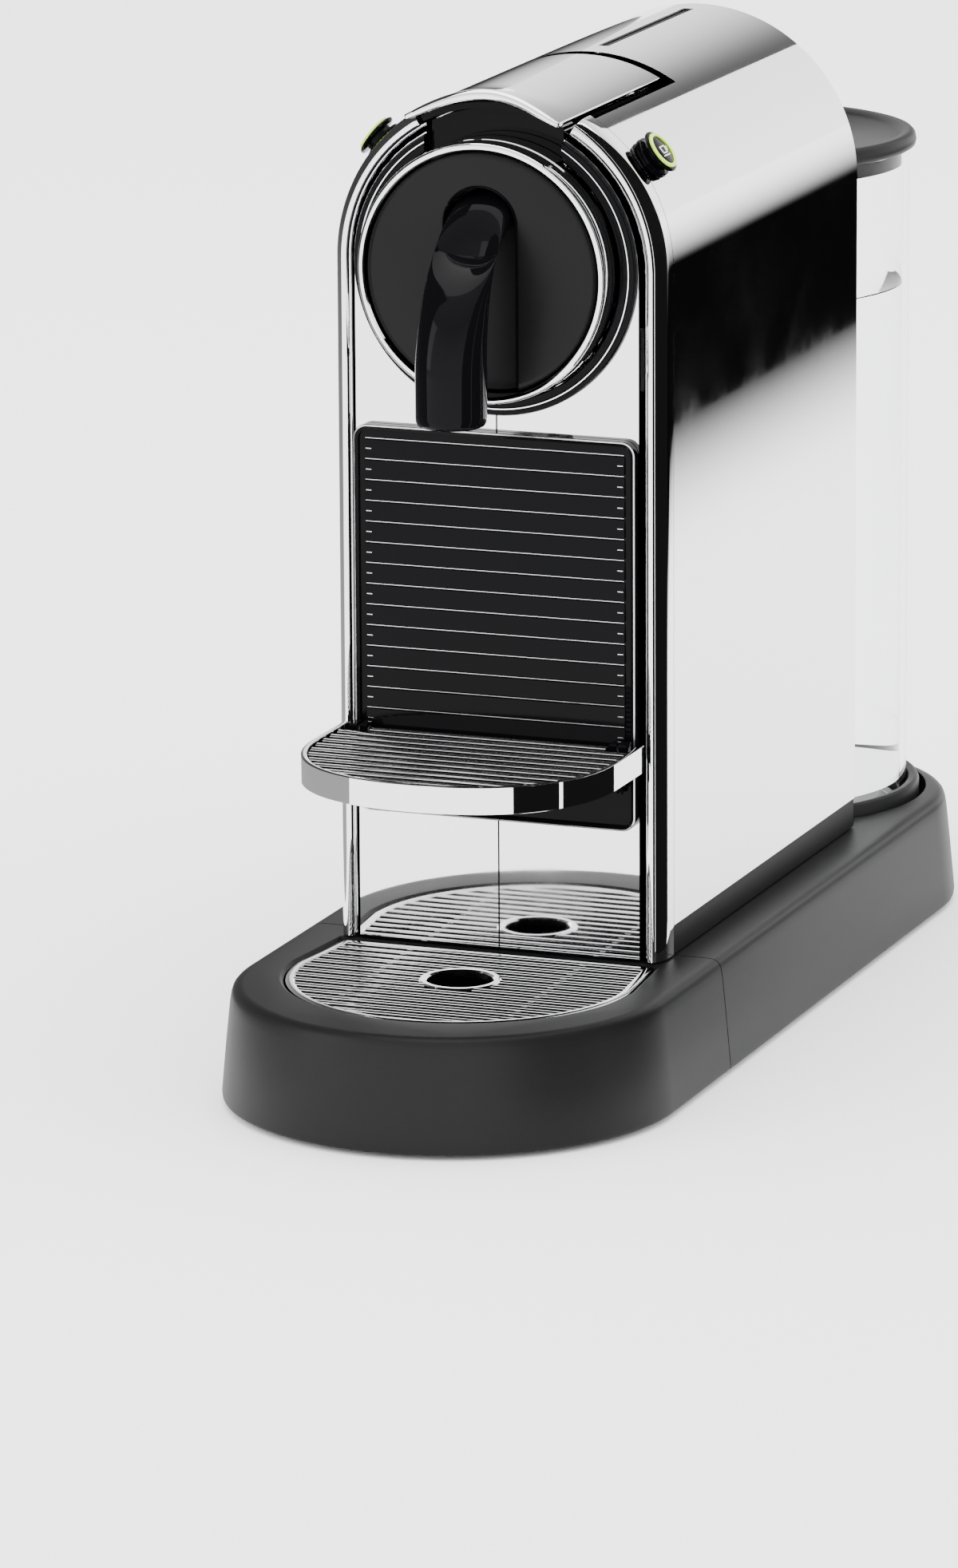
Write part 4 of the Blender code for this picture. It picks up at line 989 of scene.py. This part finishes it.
band_rise = glow("band_rise", 0.004, WHITE_LEVEL, 0.085, 0.285, "Z")
standing_card("band_card", (0.362, 0.25), (0.362, 1.80), 0.0, 0.30, band_rise)
band_fade = glow("band_fade", WHITE_LEVEL, 0.004, 0.275, 0.372, "X")
lying_card("band_floor", (0.272, 0.25), (0.362, 1.80), band_fade)
black_card = glow("black_card", 0.01, 0.01, 0.0, 1.0, "Z")
standing_card("bead_card_near", (0.13, -0.130), (0.13, 0.07), 0.001, 0.6, black_card)
standing_card("bead_card_far", (0.13, -0.137), (0.125, -0.24), 0.001, 0.6, black_card)
grey_card = glow("grey_card", 0.55, 0.06, 0.0, 0.28, "Z")
standing_card("left_card", (-0.20, -0.26), (-0.24, 0.30), 0.001, 0.7, grey_card)
grey_top = glow("grey_top", 1.9, 0.16, -0.62, 0.155, "X")
standing_card("rear_grey", (-0.62, 1.6), (0.155, 1.6), 0.36, 1.4, grey_top)
left_fall = glow("left_fall", 0.04, 1.9, 0.12, 0.72, "Z")
standing_card("rear_left_fall", (-1.05, 1.6), (-0.62, 1.6), 0.0, 1.4, left_fall)


def area_light(name, place, aim, size, power):
    data = bpy.data.lights.new(name, "AREA")
    data.shape = "RECTANGLE"
    data.size, data.size_y = size
    data.energy = power
    made = bpy.data.objects.new(name, data)
    bpy.context.collection.objects.link(made)
    made.location = place
    made.rotation_mode = "QUATERNION"
    made.rotation_quaternion = (Vector(aim) - Vector(place)).to_track_quat("-Z", "Y")
    return made


area_light("overhead", (0.0, 0.3, 1.9), (0.0, 0.0, 0.1), (1.6, 1.6), 26.0)
area_light("left_soft", (-1.5, -1.2, 0.9), (0.0, 0.0, 0.15), (0.8, 1.4), 12.0)


# %% [markdown]
# ## World
# A plain white world would leave the arch's top blank. A ramp by height darkens it overhead, for
# reflections only, so that the curve shows and everything else stays evenly lit.

# %% World
def pale_world():
    """White to the camera; in reflections, it darkens a little overhead."""
    world = bpy.data.worlds.new("studio")
    bpy.context.scene.world = world
    world.use_nodes = True
    nodes, links = world.node_tree.nodes, world.node_tree.links
    nodes.clear()
    place = nodes.new("ShaderNodeTexCoord")
    split = nodes.new("ShaderNodeSeparateXYZ")
    ramp = nodes.new("ShaderNodeValToRGB")
    stops = ((0.0, 0.9), (0.55, 0.9), (0.70, 0.75), (0.85, 0.45), (1.0, 0.6))
    lift = nodes.new("ShaderNodeMath")
    lift.operation = "MULTIPLY_ADD"
    lift.inputs[1].default_value = 0.5
    lift.inputs[2].default_value = 0.5
    for i, (where, value) in enumerate(stops):
        stop = ramp.color_ramp.elements[i] if i < 2 else ramp.color_ramp.elements.new(where)
        stop.position = where
        stop.color = (value, value, value, 1.0)
    paths = nodes.new("ShaderNodeLightPath")
    mix = nodes.new("ShaderNodeMix")
    mix.data_type = "RGBA"
    mix.inputs["A"].default_value = (0.95, 0.95, 0.95, 1.0)
    light = nodes.new("ShaderNodeBackground")
    light.inputs["Strength"].default_value = WHITE_LEVEL
    out = nodes.new("ShaderNodeOutputWorld")
    links.new(place.outputs["Generated"], split.inputs["Vector"])
    links.new(split.outputs["Z"], lift.inputs[0])
    links.new(lift.outputs["Value"], ramp.inputs["Fac"])
    links.new(paths.outputs["Is Glossy Ray"], mix.inputs["Factor"])
    links.new(ramp.outputs["Color"], mix.inputs["B"])
    links.new(mix.outputs["Result"], light.inputs["Color"])
    links.new(light.outputs["Background"], out.inputs["Surface"])


pale_world()
print("studio ready")
